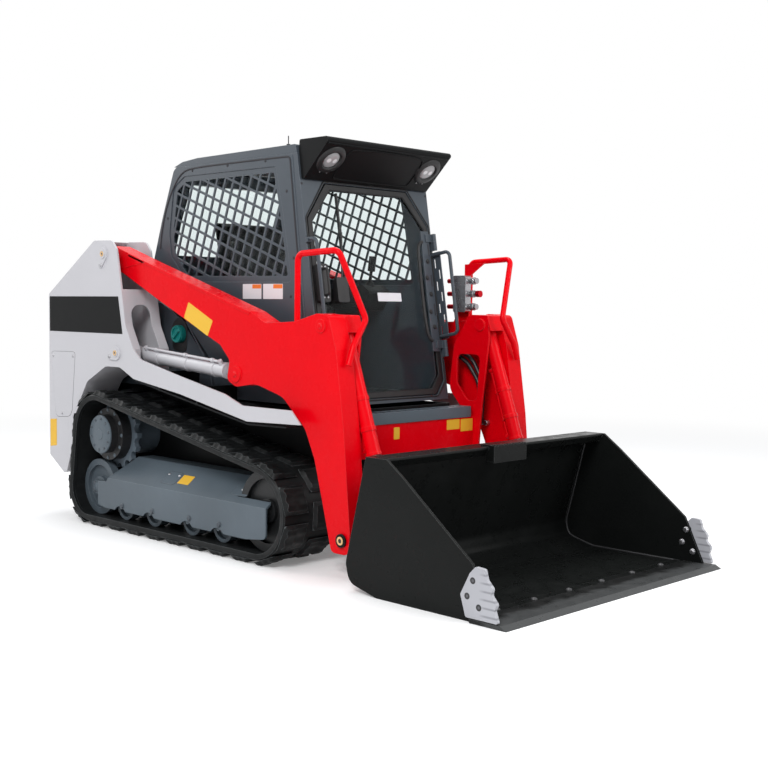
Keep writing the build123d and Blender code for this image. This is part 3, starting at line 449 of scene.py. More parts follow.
def finish(name, colour, rough, uneven=0.06, gloss=0.5, metallic=0.0, coat=0.0, skin=(350, 1.5e-5),
           soft=0.003, edge=None, wear_and_highlight_share=0.5, rough_spread=0.12, patch=2.5, marks=None):
    """A surface with uneven colour and gloss, a fine skin, and softened edges of a second, lighter colour:
    partly wear, partly a painted highlight.

    marks(tree, place, colour) may paint on a last layer, and returns the new colour.
    """
    material, tree, shader, place = blank(name)
    clouds = node(tree, "Group", {"Place": place, "Scale": patch, "Low": 0.0, "High": 1.0}, node_tree=PATCHES)
    gloss_clouds = node(tree, "Group", {"Place": place, "Scale": patch * 6, "Low": rough * (1 - rough_spread),
                                        "High": min(1.0, rough * (1 + rough_spread))}, node_tree=PATCHES)
    grain = node(tree, "Group", {"Place": place, "Scale": skin[0], "Depth": skin[1]}, node_tree=SKIN)
    edges = node(tree, "Group", {"Radius": soft}, node_tree=EDGES)
    tint = mixed(tree, clouds.outputs[0], shade(colour, 1 - uneven), shade(colour, 1 + uneven))
    # The lighter edge colour is partly wear and partly a painted highlight where edges would catch the light.
    if edge is not None:
        share = maths(tree, "MULTIPLY", edges.outputs["Mask"], wear_and_highlight_share)
        tint = mixed(tree, share, tint, edge)
    if marks is not None:
        tint = marks(tree, place, tint)
    bump = node(tree, "Bump", {"Strength": 1.0, "Distance": 1.0, "Height": grain.outputs["Height"],
                               "Normal": edges.outputs["Normal"]})
    feed(tree, shader, {"Base Color": tint, "Roughness": gloss_clouds.outputs[0], "Normal": bump.outputs[0],
                        "Metallic": metallic, "Specular IOR Level": gloss, "Coat Weight": coat,
                        "Coat Roughness": 0.12})
    return material


def glass(name, colour):
    """Clear glass with a faint tint and slightly wavy faces."""
    material, tree, shader, place = blank(name)
    wave = node(tree, "Group", {"Place": place, "Scale": 2.0, "Depth": 0.0004}, node_tree=SKIN)
    bump = node(tree, "Bump", {"Strength": 0.3, "Distance": 1.0, "Height": wave.outputs["Height"]})
    feed(tree, shader, {"Normal": bump.outputs[0], "Base Color": (*colour, 1), "Roughness": 0.0,
                        "Transmission Weight": 1.0, "IOR": 1.15})
    return material


LAMP = (0.214, 0.332, 1.886)  # a point on the left work lamp's axis
SLANT = 0.7071                # of the lamps' slope, up and ahead, along x and along z


def lamp_marks(tree, place, tint):
    """Two bright round light sources in each lamp's grey face, side by side.

    Bright where (|y| - lamp y - gap, distance up the slope from the lamp's axis) is short.
    """
    x, y, z = parts_of(tree, place)
    across = maths(tree, "ABSOLUTE", y)
    along = maths(tree, "MULTIPLY_ADD", maths(tree, "ADD", x, z), SLANT, -SLANT * (LAMP[0] + LAMP[2]))
    for gap in (-0.018, 0.018):
        away = maths(tree, "SUBTRACT", across, LAMP[1] + gap)
        spot = node(tree, "CombineXYZ", {0: away, 1: along}).outputs[0]
        reach = node(tree, "VectorMath", {0: spot}, operation="LENGTH").outputs["Value"]
        tint = mixed(tree, ramp(tree, reach, 0.009, 0.015, 1.0, 0.0), tint, (0.85, 0.85, 0.87))
    return tint


MOTOR_BARREL = (0.5975, 0.6995)   # |y| where the drive motor's barrel begins and ends


def hub_marks(tree, place, tint):
    """The drive motor's barrel is black between the grey sprocket and the grey hub cover."""
    across = maths(tree, "ABSOLUTE", parts_of(tree, place)[1])
    barrel = maths(tree, "MULTIPLY", maths(tree, "GREATER_THAN", across, MOTOR_BARREL[0]),
                   maths(tree, "LESS_THAN", across, MOTOR_BARREL[1]))
    return mixed(tree, barrel, tint, (0.012, 0.012, 0.013))


CUTTER_BOLTS = [(1.516, 0.165), (1.489, 0.102), (1.547, 0.067)]
GROOVE_PITCH = 0.031          # height from one groove of the side cutters to the next


def cutter_marks(tree, place, tint):
    """Three dark bolts on each side cutter, as round marks about their (x, z) places, and painted shade in
    the grooves.

    The grooves' painted shade follows sin(2 pi z / pitch), and grows darker towards the front edge, where the
    grooves deepen.
    """
    x, _, z = parts_of(tree, place)
    # Painted shade in the grooves between the cutters' ribs.
    ripple = maths(tree, "SINE", maths(tree, "MULTIPLY", z, 2 * pi / GROOVE_PITCH))
    groove_shade = maths(tree, "MULTIPLY", ramp(tree, ripple, 0.45, 1.0, 0.0, 0.55), ramp(tree, x, 1.545, 1.575))
    tint = mixed(tree, groove_shade, tint, (0.13, 0.13, 0.15))
    flat = node(tree, "VectorMath", {0: place, 1: (1, 0, 1)}, operation="MULTIPLY").outputs[0]
    for bolt_x, bolt_z in CUTTER_BOLTS:
        reach = node(tree, "VectorMath", {0: flat, 1: (bolt_x, 0, bolt_z)},
                     operation="DISTANCE").outputs["Value"]
        for radius, dark in ((0.013, (0.02, 0.02, 0.022)), (0.006, (0.10, 0.10, 0.11))):
            tint = mixed(tree, ramp(tree, reach, radius - 0.0005, radius + 0.0005, 1.0, 0.0), tint, dark)
    return tint


def blade_wear_and_sheen(tree, place, tint):
    """The cutting edge turns grey towards its front, in uneven patches: x + 0.12 (noise - 0.5); partly wear
    to bare steel, partly a painted sheen.
    """
    wear_and_sheen = node(tree, "TexNoise", {"Vector": place, "Scale": 14.0, "Detail": 5.0,
                                   "Roughness": 0.65}).outputs[0]
    reach = maths(tree, "ADD", maths(tree, "MULTIPLY_ADD", wear_and_sheen, 0.12, -0.06), parts_of(tree, place)[0])
    # Grey on the cutting edge: partly wear, partly a painted sheen.
    return mixed(tree, ramp(tree, reach, 1.545, 1.585, 0.0, 0.85), tint, (0.062, 0.065, 0.066))


# The front idlers get painted shade: from this x forwards they are darkened to near black.
SHADED_IDLERS_FROM = -0.045          # x from which the wheels of the idler nodes are the front ones


def front_idler_shade(tree, place, tint):
    """The front idlers are painted near black as shade, for the shadow of the belt and frame they sit in; the
    other wheels keep their grey.
    """
    # Painted shade: the front idlers darkened to near black.
    front = maths(tree, "GREATER_THAN", parts_of(tree, place)[0], SHADED_IDLERS_FROM)
    return mixed(tree, front, tint, (0.012, 0.013, 0.014))


CAPS_TO, CAPS_FROM = 0.2662, 0.4100   # x behind and ahead of which the couplers wear dust caps


def coupler_marks(tree, place, tint):
    """Red dust caps at the back of the coupler block and on its middle coupling."""
    x = parts_of(tree, place)[0]
    caps = maths(tree, "MAXIMUM", maths(tree, "LESS_THAN", x, CAPS_TO),
                 maths(tree, "GREATER_THAN", x, CAPS_FROM))
    return mixed(tree, caps, tint, (0.55, 0.0, 0.01))


WHITE, RED = (0.575, 0.570, 0.60), (0.82, 0.0, 0.006)
CAB_GREY, BLACK, FRAME_GREY = (0.060, 0.074, 0.090), (0.0085, 0.009, 0.0095), (0.098, 0.126, 0.150)
# The grey finishes' lighter edge colour, on the line below, is partly wear and partly a painted highlight.
RUBBER, GREY_EDGE_WEAR_AND_HIGHLIGHT = (0.0105, 0.0115, 0.012), (0.24, 0.28, 0.32)
FINISHES = {
    "white": finish("white_paint", WHITE, 0.34, uneven=0.02, gloss=0.35, coat=0.15, edge=(0.80, 0.80, 0.82)),
    "red": finish("red_paint", RED, 0.27, uneven=0.06, gloss=0.10, edge=(0.95, 0.16, 0.16), wear_and_highlight_share=0.45),
    "cab_grey": finish("cab_grey_paint", CAB_GREY, 0.32, gloss=0.30, edge=GREY_EDGE_WEAR_AND_HIGHLIGHT, wear_and_highlight_share=0.6),
    "black": finish("black_paint", BLACK, 0.38, gloss=0.07, edge=(0.10, 0.105, 0.11), wear_and_highlight_share=0.6,
                    skin=(700, 2e-5)),
    "bucket": finish("bucket_black_paint", (0.0075, 0.0083, 0.0080), 0.32, uneven=0.15, gloss=0.09,
                     edge=(0.17, 0.175, 0.175), wear_and_highlight_share=0.7, skin=(500, 2e-5), rough_spread=0.3),
    "blade": finish("worn_and_sheened_edge_steel", (0.010, 0.0105, 0.0105), 0.34, uneven=0.15, gloss=0.2,
                    edge=(0.20, 0.20, 0.21), wear_and_highlight_share=0.7, skin=(300, 5e-5), rough_spread=0.3,
                    marks=blade_wear_and_sheen),
    "frame_grey": finish("frame_grey_paint", FRAME_GREY, 0.36, gloss=0.30, edge=(0.28, 0.33, 0.37),
                         uneven=0.12),
    "cast_grey": finish("cast_grey_paint", (0.085, 0.108, 0.128), 0.45, gloss=0.35, skin=(220, 6e-5),
                        edge=GREY_EDGE_WEAR_AND_HIGHLIGHT, marks=front_idler_shade),
    "hub": finish("hub_paint", (0.10, 0.128, 0.155), 0.48, gloss=0.4, skin=(260, 4e-5), marks=hub_marks),
    "chrome": finish("rod_chrome", (0.78, 0.78, 0.80), 0.09, metallic=1.0, uneven=0.02, skin=(600, 1e-6)),
    "cutter": finish("cutter_paint", (0.47, 0.475, 0.51), 0.42, uneven=0.12, gloss=0.4, skin=(150, 1.2e-4),
                     edge=(0.66, 0.66, 0.69), marks=cutter_marks),
    "zinc": finish("zinc_plate", (0.40, 0.40, 0.42), 0.34, metallic=0.9, uneven=0.12, edge=(0.7, 0.7, 0.72)),
    "coupler": finish("coupler_steel", (0.42, 0.42, 0.44), 0.28, metallic=0.8, uneven=0.15,
                      edge=(0.72, 0.72, 0.74), marks=coupler_marks),
    "brass": finish("brass", (0.72, 0.47, 0.22), 0.3, metallic=0.9, uneven=0.06),
    # The rubber's lighter edge colour is a painted highlight along the lugs' edges.
    "rubber": finish("track_rubber", RUBBER, 0.46, uneven=0.3, gloss=0.13, skin=(160, 1.2e-4),
                     edge=(0.135, 0.15, 0.155), wear_and_highlight_share=0.9, soft=0.004, rough_spread=0.3, patch=5),
    "hose": finish("hose_rubber", (0.012, 0.012, 0.013), 0.42, uneven=0.1, gloss=0.5, skin=(900, 3e-5)),
    "seal": finish("seal_rubber", (0.010, 0.010, 0.011), 0.55, gloss=0.4, skin=(500, 2e-5)),
    "plastic": finish("black_plastic", (0.016, 0.016, 0.017), 0.5, gloss=0.4, skin=(900, 3e-5),
                      edge=(0.08, 0.08, 0.085)),
    "vinyl": finish("seat_vinyl", (0.022, 0.022, 0.024), 0.5, gloss=0.4, skin=(420, 1.2e-4), uneven=0.15),
    "teal": finish("teal_cap", (0.005, 0.24, 0.22), 0.36, gloss=0.45, edge=(0.08, 0.5, 0.45)),
    "red_lens": finish("red_lens", (0.5, 0.008, 0.008), 0.16, gloss=0.5, skin=(200, 2e-5)),
    "lamp": finish("lamp_face", (0.38, 0.38, 0.39), 0.16, gloss=0.6, uneven=0.1, skin=(90, 2.0e-4),
                   marks=lamp_marks),
    "yellow": finish("yellow_label", (0.86, 0.50, 0.035), 0.4, uneven=0.03, gloss=0.4, soft=0.0005),
    "pale": finish("white_label", (0.80, 0.79, 0.82), 0.4, uneven=0.02, gloss=0.4, soft=0.0005),
    "orange": finish("orange_label", (0.86, 0.20, 0.02), 0.4, uneven=0.03, gloss=0.4, soft=0.0005),
    "seam": finish("seam_shadow", (0.05, 0.05, 0.055), 0.7, gloss=0.2, soft=0.0005),
    "weld": finish("weld_bead", (0.035, 0.035, 0.038), 0.45, gloss=0.5, skin=(240, 2.5e-4),
                   edge=(0.12, 0.12, 0.12)),
    "glass": glass("window_glass", (0.88, 0.925, 0.925)),
}


def pair(name):
    """The names of a left and a right node."""
    return [name + "_left", name + "_right"]

NODE_FINISH = {
    "white": [*pair("tower"), *pair("lift_barrel"), "hood", "rear_door"],
    "red": [*pair("lift_arm"), *pair("tilt_barrel"), "arm_crossmember", "guard_hoops", "coupler_bracket"],
    "cab_grey": ["cab_frame", "cab_roof", "engine_housing", "side_screens", "cab_door_hinge", "entry_handle",
                 "grab_handle"],
    "black": [*pair("fender"), "visor", "attachment_plate", "main_frame"],
    "bucket": ["bucket_shell"],
    "blade": ["cutting_edge"],
    "frame_grey": [*pair("track_frame"), "front_step"],
    "cast_grey": [*pair("idlers"), *pair("rollers"), "engine"],
    "hub": pair("drive_sprocket"),
    "chrome": pair("lift_rod") + pair("tilt_rod"),
    "cutter": ["side_cutters"],
    "coupler": ["couplers"],
    "rubber": pair("track"),
    "hose": ["arm_hoses"],
    "seal": ["cab_door_frame"],
    "plastic": ["control_consoles", "control_levers", "cab_door_latch", "wiper", "aerial"],
    "vinyl": ["seat"],
    "teal": ["fuel_cap"],
    "red_lens": ["tail_lamps"],
    "glass": ["cab_windows", "cab_door_glass"],
    "lamp": ["work_lamps"],
}


def paint_nodes():
    """Give every fixed node its finish."""
    for name_of_finish, names in NODE_FINISH.items():
        for name in names:
            for held in NODES[name].material_slots:
                held.material = FINISHES[name_of_finish]


# ---- pieces ------------------------------------------------------------------------------------
SHARP = radians(38)           # edges that turn more than this stay sharp


def piece(name, shape, look, body):
    """An object from a shape: doubles merged, faces outwards, in its finish and on its body."""
    points, faces = shape
    mesh = bpy.data.meshes.new(name)
    mesh.from_pydata(points.tolist(), [], faces.tolist())
    work = bmesh.new()
    work.from_mesh(mesh)
    bmesh.ops.remove_doubles(work, verts=work.verts, dist=2e-5)
    bmesh.ops.dissolve_degenerate(work, edges=work.edges, dist=1e-6)
    bmesh.ops.recalc_face_normals(work, faces=work.faces)
    work.to_mesh(mesh)
    work.free()
    mesh.shade_smooth()
    mesh.set_sharp_from_angle(angle=SHARP)
    mesh.materials.append(FINISHES[look])
    made = bpy.data.objects.new(name, mesh)
    bpy.context.collection.objects.link(made)
    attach(made, body)
    return made


# ---- tracks ------------------------------------------------------------------------------------
# Each track runs round three wheels, rear, front and top: (x, z, radius of the wheel).
WHEELS = np.array([(-1.240, 0.197, 0.150), (0.160, 0.240, 0.193), (-1.160, 0.490, 0.190)])
BELT, LUG_TOP = 0.025, 0.047          # heights over the wheels of the belt and of the lugs
GAUGE_HALF, BELT_HALF = 0.580, 0.160  # middle of a track across the machine, and half its width
SHOES = 25                            # lugs in one row round the belt
ARC_STEPS, BELT_STEPS = 60, 300       # points of one wheel's arc, and rings of the belt


def belt_table():
    """The line round the wheels as rows (wheel x, wheel z, wheel radius, normal angle), and its lengths.

    A straight run keeps its normal and slides from wheel to wheel, and an arc keeps its wheel and turns its
    normal. The point of a row is wheel + (radius + belt) (cos angle, sin angle).
    """
    after = np.roll(WHEELS, -1, 0)
    dx, dz, _ = (after - WHEELS).T
    normal = np.unwrap(np.arctan2(dz, dx) - np.arccos((WHEELS[:, 2] - after[:, 2]) / np.hypot(dx, dz)))
    nexts = np.append(normal[1:], normal[0] + 2 * pi)
    rows = [np.append(WHEELS[0], normal[0])[None]]
    for wheel, low, high in zip(after, normal, nexts):
        turns = np.linspace(low, high, ARC_STEPS)
        rows.append(np.column_stack((np.broadcast_to(wheel, (ARC_STEPS, 3)), turns)))
    table = np.concatenate(rows)
    outwards = np.column_stack((np.cos(table[:, 3]), np.sin(table[:, 3])))
    spots = table[:, :2] + (table[:, 2:3] + BELT) * outwards
    lengths = np.concatenate(([0], np.cumsum(np.linalg.norm(np.diff(spots, axis=0), axis=1))))
    return table, lengths


def belt_frames(distances, sign):
    """Frames along the belt, each (origin on the wheel line, along, across, outwards)."""
    table, lengths = belt_table()
    x, z, r, angle = (np.interp(distances % lengths[-1], lengths, column) for column in table.T)
    out = np.column_stack((np.cos(angle), np.zeros_like(angle), np.sin(angle)))
    ahead = np.column_stack((-np.sin(angle), np.zeros_like(angle), np.cos(angle)))
    origin = np.column_stack((x, np.full_like(x, sign * GAUGE_HALF), z)) + r[:, None] * out
    across = np.broadcast_to((0, sign, 0), out.shape)
    return np.stack((origin, ahead, across, out), 1)


LUG_LENGTH, LUG_SUNK = 0.132, 0.002   # along the belt, and how deep a lug's foot is in the belt


def lug(outer):
    """A tread lug, half the belt wide: rows run across it, columns along it.

    Height = foot + (row height - foot) * column share, and the share falls to a little at both ends, where
    the columns close. The outer rim waves as 0.0045 cos(6 pi along / length).
    """
    along = np.array([-0.066, -0.066, -0.053, -0.041, -0.034, -0.020, -0.012, 0.0, 0.012, 0.020, 0.034, 0.041,
                      0.053, 0.066, 0.066])
    share = np.array([0.1, 0.1, 0.80, 0.80, 1, 1, 0.86, 0.86, 0.86, 1, 1, 0.80, 0.80, 0.1, 0.1])
    across = np.array([0.160, 0.148, 0.100, 0.092, 0.030, 0.016])
    height = np.array([0.024, LUG_TOP, LUG_TOP, 0.040, 0.040, 0.023])
    size = len(across), len(along)
    y = outer * np.broadcast_to(across[:, None], size).copy()
    y[1] += outer * 0.0045 * np.cos(along / LUG_LENGTH * 6 * pi)
    foot = BELT - LUG_SUNK
    h = foot + (height[:, None] - foot) * share
    grid = np.stack((np.broadcast_to(along, size), y, h), -1)
    grid[:, (0, -1)] = grid[:, (0, -1)].mean(0)
    return surface(grid, wrap_rows=True, wrap_columns=False)


def tracks():
    """Rubber tracks: a belt with raised rims carried round the wheels, and staggered lugs on it."""
    half, rim = BELT_HALF, -0.006
    profile = [(-half, 0.002), (-half + 0.004, rim), (-half + 0.018, rim), (-half + 0.024, 0),
               (half - 0.024, 0), (half - 0.018, rim), (half - 0.004, rim), (half, 0.002),
               (half, 0.018), (half - 0.007, BELT), (-half + 0.007, BELT), (-half, 0.018)]
    local = np.column_stack((np.zeros(len(profile)), profile))
    total = belt_table()[1][-1]
    shoes = np.arange(SHOES) * total / SHOES
    steps = np.linspace(0, total, BELT_STEPS, endpoint=False)
    for sign, hand in zip(BOTH, ("right", "left")):
        rings = belt_frames(steps, sign)
        belt = surface(rings[:, None, 0] + local @ rings[:, 1:], wrap_rows=True)
        outer_lugs = copies(lug(1), belt_frames(shoes + 0.5 * total / SHOES, sign))
        inner_lugs = copies(lug(-1), belt_frames(shoes, sign))
        made = piece("track_tread_" + hand, join(belt, outer_lugs, inner_lugs), "rubber", "chassis")
        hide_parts("track_" + hand)


HUB = WHEELS[2, :2]
# Outer faces across the machine: hubs and rollers, the drive motors' flanges, and the idlers' brackets.
WHEEL_FACE, MOTOR_FACE, IDLER_FACE = 0.700, 0.655, 0.670


def ring_of(centre, radius, count, start=0.0):
    """Points evenly round a centre."""
    a = start + np.arange(count) * 2 * pi / count
    return np.column_stack((centre[0] + radius * np.cos(a), centre[1] + radius * np.sin(a)))


def running_gear():
    """Hub covers, bolts of hubs, motors, rollers and idlers, and the track frames' hatches and labels."""
    thick = 0.006
    cover = turned([(0, 0), (0.101, 0), (0.101, 0.004), (0.098, thick), (0.03, thick), (0.028, 0.009),
                    (0, 0.009)], 40)
    piece("hub_covers", copies(cover, sides_at(WHEEL_FACE, [HUB])), "frame_grey", "chassis")
    rollers = [(-0.959, 0.129), (-0.688, 0.136), (-0.377, 0.140), (-0.140, 0.142)]
    brackets = [(-1.268, 0.216), (-1.268, 0.178), (-1.180, 0.197)]
    for name, size, face, points, look in (
            ("hub_bolts", 0.0062, WHEEL_FACE + thick, ring_of(HUB, 0.084, 10, 0.2), "cab_grey"),
            ("motor_bolts", 0.0075, MOTOR_FACE, ring_of(HUB, 0.128, 12), "frame_grey"),
            ("roller_bolts", 0.012, WHEEL_FACE, rollers, "cab_grey"),
            ("idler_bolts", 0.010, IDLER_FACE, brackets, "cab_grey")):
        piece(name, bolts_on_sides(size, face, points), look, "chassis")
    axle = turned([(0, 0), (0.024, 0), (0.024, 0.006), (0.02, 0.009), (0, 0.009)])
    piece("idler_axle_caps", copies(axle, sides_at(IDLER_FACE, WHEELS[:1, :2])), "frame_grey", "chassis")
    roofs = [roof_frame(sign) for sign in BOTH]
    hatches = [rect(-0.66, -0.545, 0.035, 0.12, 0.018), rect(-0.10, 0.02, 0.045, 0.10, 0.014)]
    seams = join(*[rim_line(hatch, 0.0016) for hatch in hatches])
    piece("track_frame_seams", copies(seams, roofs), "seam", "chassis")
    lids = join(*[plate(hatch, -0.0005, 0.0012) for hatch in hatches])
    piece("track_frame_hatches", copies(lids, roofs), "frame_grey", "chassis")
    spots = [(-0.645, 0.10), (-0.56, 0.10), (-0.04, 0.085)]
    piece("hatch_bolts", copies(dome(0.0085), np.concatenate([at(roof, spots) for roof in roofs])), "zinc",
          "chassis")
    label = plate(rect(-0.53, -0.44, 0.05, 0.11), 0.0002, 0.0010)
    piece("track_frame_labels", copies(label, roofs), "yellow", "chassis")


def roof_frame(sign):
    """The track frame's sloping roof: (x, distance up the slope from its outer edge, height off it)."""
    outer, low, run, rise = 0.700, 0.262, -0.140, 0.110
    slope = (run ** 2 + rise ** 2) ** 0.5
    return [(0, sign * outer, low), (1, 0, 0), (0, sign * run / slope, rise / slope),
            (0, sign * rise / slope, -run / slope)]


def rim_line(rim, width):
    """A thin flat line along an outline: a closed band between the rim drawn in and drawn out by width."""
    arm, half = rim - rim.mean(0), 0.0006
    step = arm * (width / np.linalg.norm(arm, axis=1, keepdims=True))
    rings = ((rim - step, -half), (rim + step, -half), (rim + step, half), (rim - step, half))
    return surface(np.stack([np.column_stack((ring, np.full(len(ring), h))) for ring, h in rings]),
                   wrap_rows=True)


# ---- towers and body ---------------------------------------------------------------------------
TOWER_FACE = 0.700
KEEPER_TOP, PIN_TOP = 0.008, 0.012    # heights over the towers' faces of the pins' keeper plates and ends


def towers():
    """The black band, the access panel and its seam, labels and pin fittings on both towers."""
    band = rounded([(-1.672, 1.0305), (-0.950, 1.0295), (-0.989, 1.2245), (-1.672, 1.2235)], 0.0015, 2)
    piece("tower_bands", on_sides(plate(band, 0.0001, 0.0009, 0.0003), TOWER_FACE), "black", "chassis")
    panel = rounded([(-1.657, 0.917), (-1.409, 0.922), (-1.447, 0.566), (-1.613, 0.552)],
                    [0.026, 0.026, 0.050, 0.040], 8)
    piece("tower_panel_seams", on_sides(rim_line(panel, 0.0013), TOWER_FACE), "seam", "chassis")
    piece("tower_panels", on_sides(plate(panel, -0.0005, 0.0011, 0.0008), TOWER_FACE), "white", "chassis")
    corners = [(-1.637, 0.894), (-1.431, 0.897), (-1.545, 0.578)]
    piece("tower_panel_bolts", bolts_on_sides(0.0068, TOWER_FACE + 0.001, corners), "zinc", "chassis")
    label = rounded([(-1.673, 0.382), (-1.606, 0.392), (-1.606, 0.541), (-1.673, 0.535)], 0.004)
    piece("tower_labels", on_sides(plate(label, 0.0001, 0.0009), TOWER_FACE), "yellow", "chassis")
    pins = [(-1.124, 1.447), (-1.005, 0.930)]
    away, turns = 0.062, np.radians([250, 200])
    feet = [(x + away * cos(turn), z + away * sin(turn)) for (x, z), turn in zip(pins, turns)]
    piece("keeper_bolts", bolts_on_sides(0.0085, TOWER_FACE + KEEPER_TOP, feet), "zinc", "chassis")
    cup = turned([(0.014, 0), (0.014, 0.0022), (0.0075, 0.0022), (0.0075, 0)], 24, wrap=True)
    piece("pin_rings", copies(cup, sides_at(TOWER_FACE + PIN_TOP, pins)), "brass", "chassis")
    grease = bolts_on_sides(0.0045, TOWER_FACE + PIN_TOP, pins, kind=dome)
    piece("pin_grease_points", grease, "seam", "chassis")


CAP = (-0.800, 1.031)         # middle of the fuel filler's cap
BODY_SIDE = 0.437             # the upper body's and the cab's side faces, across the machine


def body_sides():
    """The fuel filler's surround and grip, and the rounded edge lines of the upper body."""
    y, out = BODY_SIDE, BODY_SIDE + 0.001
    bowl = rounded([(-0.872, 0.945), (-0.752, 0.935), (-0.742, 1.075), (-0.812, 1.128), (-0.880, 1.085)],
                   0.03, 6)
    piece("filler_surround", copies(plate(bowl, 0.0, 0.004, 0.002), [side(y, -1)]), "plastic", "chassis")
    grip = join(box(-0.034, 0.034, -0.008, 0.008, 0.029, 0.041, 0.003),
                turned([(0.034, 0.0295), (0.043, 0.0295), (0.043, 0.036), (0.034, 0.036)], 32, wrap=True))
    turn = radians(40)
    u, v = (cos(turn), 0, sin(turn)), (-sin(turn), 0, cos(turn))
    piece("filler_cap_grip", copies(grip, [[(CAP[0], -y, CAP[1]), u, v, (0, -1, 0)]]), "teal", "chassis")
    line = eased([(-0.755, out, 1.095), (-0.742, out, 1.082), (-0.600, out, 0.924)], 6)
    piece("body_edge_lines", lines_on_sides(line, 0.0035), "cab_grey", "chassis")


def rear():
    """The engine door's handle and bolts, and the hood's bolts."""
    face = upright(-1.660, -1)
    handle = join(plate(rect(-0.44, -0.36, 0.72, 0.86, 0.012), 0, 0.004, 0.001),
                  plate(rect(-0.425, -0.375, 0.745, 0.835, 0.01), 0.004, 0.014, 0.003))
    piece("rear_door_handle", copies(handle, [face]), "plastic", "rear_door")
    spots = [(y, z) for y in (-0.44, 0.0, 0.42) for z in (0.47, 1.15)]
    piece("rear_door_bolts", copies(bolt(0.008), at(face, spots)), "zinc", "rear_door")
    spots = [(x, y) for x in (-1.45, -1.11) for y in (-0.44, 0.44)]
    piece("hood_bolts", copies(bolt(0.009), at(level(1.262), spots)), "zinc", "chassis")


# ---- cab ---------------------------------------------------------------------------------------
def door_rim(grow):
    """The door's eight corners (y, height along the front), grown all round."""
    half, low, high = 0.412 + grow, 0.018 - grow, 1.052 + grow
    right = [(half - 0.062, low), (half, low + 0.072), (half, 0.880 + grow / 2), (half - 0.134, high)]
    return right + [(-y, s) for y, s in reversed(right)]


POST = 0.428                  # middle of the front posts, across the machine
# Heights off the front's face: the hinge's plate, the middle of the door's bar, and the latch's cover.
HINGE_TOP, BAR_MIDDLE, LATCH_TOP = 0.010, 0.0095, 0.036


def cab_front():
    """The seals of the door and its glass, the door's hinge and bar, latch bolts, clamps and a label."""
    # name, growth of the door's rim, radius of its corners, height, radius and sides of the seal, body
    seals = (("door_seal", 0.0115, 0.012, 0.0006, 0.0042, 10, "cab"),
             ("glass_edge", -0.026, 0.008, -0.004, 0.0035, 8, "cab_door"))
    for name, grow, corner, height, radius, sides, body in seals:
        rim = rounded(door_rim(grow), corner, 6)
        path = np.column_stack((rim, np.full(len(rim), height)))
        line = tube(path, radius, across=(0, 0, 1), closed=True, sides=sides)
        piece(name, on_front(line), "seal", body)
    hinge = [(0.380, 0.70), (0.380, 0.53), (0.380, 0.36), (0.363, 0.615), (0.363, 0.44)]
    hinge = [(y, s, HINGE_TOP) for y, s in hinge]
    piece("hinge_bolts", copies(bolt(0.0095), at(FRONT, hinge)), "plastic", "cab_door")
    # Dark slots in the hinge plate: painted shade in its openings.
    slot = box(-0.0045, 0.0045, -0.030, 0.030, 0, 0.0012, 0.0004)
    slots = [(0.396, s, HINGE_TOP) for s in (0.45, 0.60, 0.76)]
    piece("hinge_slots", copies(slot, at(FRONT, slots)), "seam", "cab_door")
    bar = [(0.354, 0.800), (0.340, 0.796), (0.326, 0.780), (0.318, 0.750), (0.315, 0.600), (0.315, 0.450),
           (0.320, 0.345), (0.330, 0.308), (0.343, 0.293), (0.354, 0.290)]
    bar = eased([(y, s, BAR_MIDDLE) for y, s in bar], 6)
    piece("door_bar", on_front(tube(bar, 0.0085, across=(0, 0, 1))), "plastic", "cab_door")
    clamp = box(-0.016, 0.016, -0.011, 0.011, 0, 0.016, 0.003)
    piece("grab_clamps", copies(clamp, at(FRONT, [(-POST, 0.775), (-POST, 0.245)])), "cab_grey", "cab")
    latch = [(y, s, LATCH_TOP) for s in (0.50, 0.645) for y in (-0.391, -0.367)]
    piece("latch_bolts", copies(dome(0.006), at(FRONT, latch)), "zinc", "cab_door")
    label = plate(rect(0.005, 0.172, 0.492, 0.535, 0.003), -0.0058, -0.0052, 0.0002)
    piece("glass_label", on_front(label), "pale", "cab_door")
    posts = [(sign * POST, s) for sign in BOTH for s in (0.09, 1.045)]
    piece("post_bolts", copies(dome(0.0065), at(FRONT, posts)), "seam", "cab")


SCREEN_BOLTS = [(-0.704, 1.876), (-0.413, 1.880), (-0.121, 1.882), (0.036, 1.728), (0.090, 1.412),
                (0.070, 1.231), (-0.919, 1.640), (-0.905, 1.330), (-0.560, 1.262)]
MOULDING = [(-0.985, 1.480), (-0.975, 1.560), (-0.935, 1.690), (-0.868, 1.800), (-0.800, 1.868),
            (-0.715, 1.889), (-0.300, 1.890), (0.020, 1.890), (0.058, 1.888), (0.064, 1.850),
            (0.100, 1.560), (0.150, 1.180), (0.162, 1.080)]


def cab_sides():
    """A raised moulding, corner lines, small bolts and two blank labels on each side of the cab."""
    y = BODY_SIDE
    line = eased([(x, y + 0.0005, z) for x, z in MOULDING], 6)
    piece("cab_mouldings", lines_on_sides(line, 0.0042), "seam", "cab")
    corner = eased([(x + 0.016, y + 0.0003, z + 0.006) for x, z in MOULDING[8:]], 4)
    piece("cab_corner_lines", lines_on_sides(corner, 0.003), "cab_grey", "cab")
    piece("screen_bolts", bolts_on_sides(0.0075, y, SCREEN_BOLTS, kind=dome), "seam", "cab")
    low, high, margin = 1.2175, 1.2905, 0.002
    labels, bands = [], []
    for x_low, x_high in ((-0.289, -0.146), (-0.133, 0.013)):
        labels.append(plate(rect(x_low, x_high, low, high, 0.003), 0.0002, 0.0010, 0.0003))
        middle = x_low + 0.52 * (x_high - x_low)
        band = rect(middle, x_high - margin, high - 0.022, high - margin, 0.001)
        bands.append(plate(band, 0.0009, 0.0014, 0.0002))
    piece("cab_labels", on_sides(join(*labels), y), "pale", "cab")
    piece("cab_label_bands", on_sides(join(*bands), y), "orange", "cab")


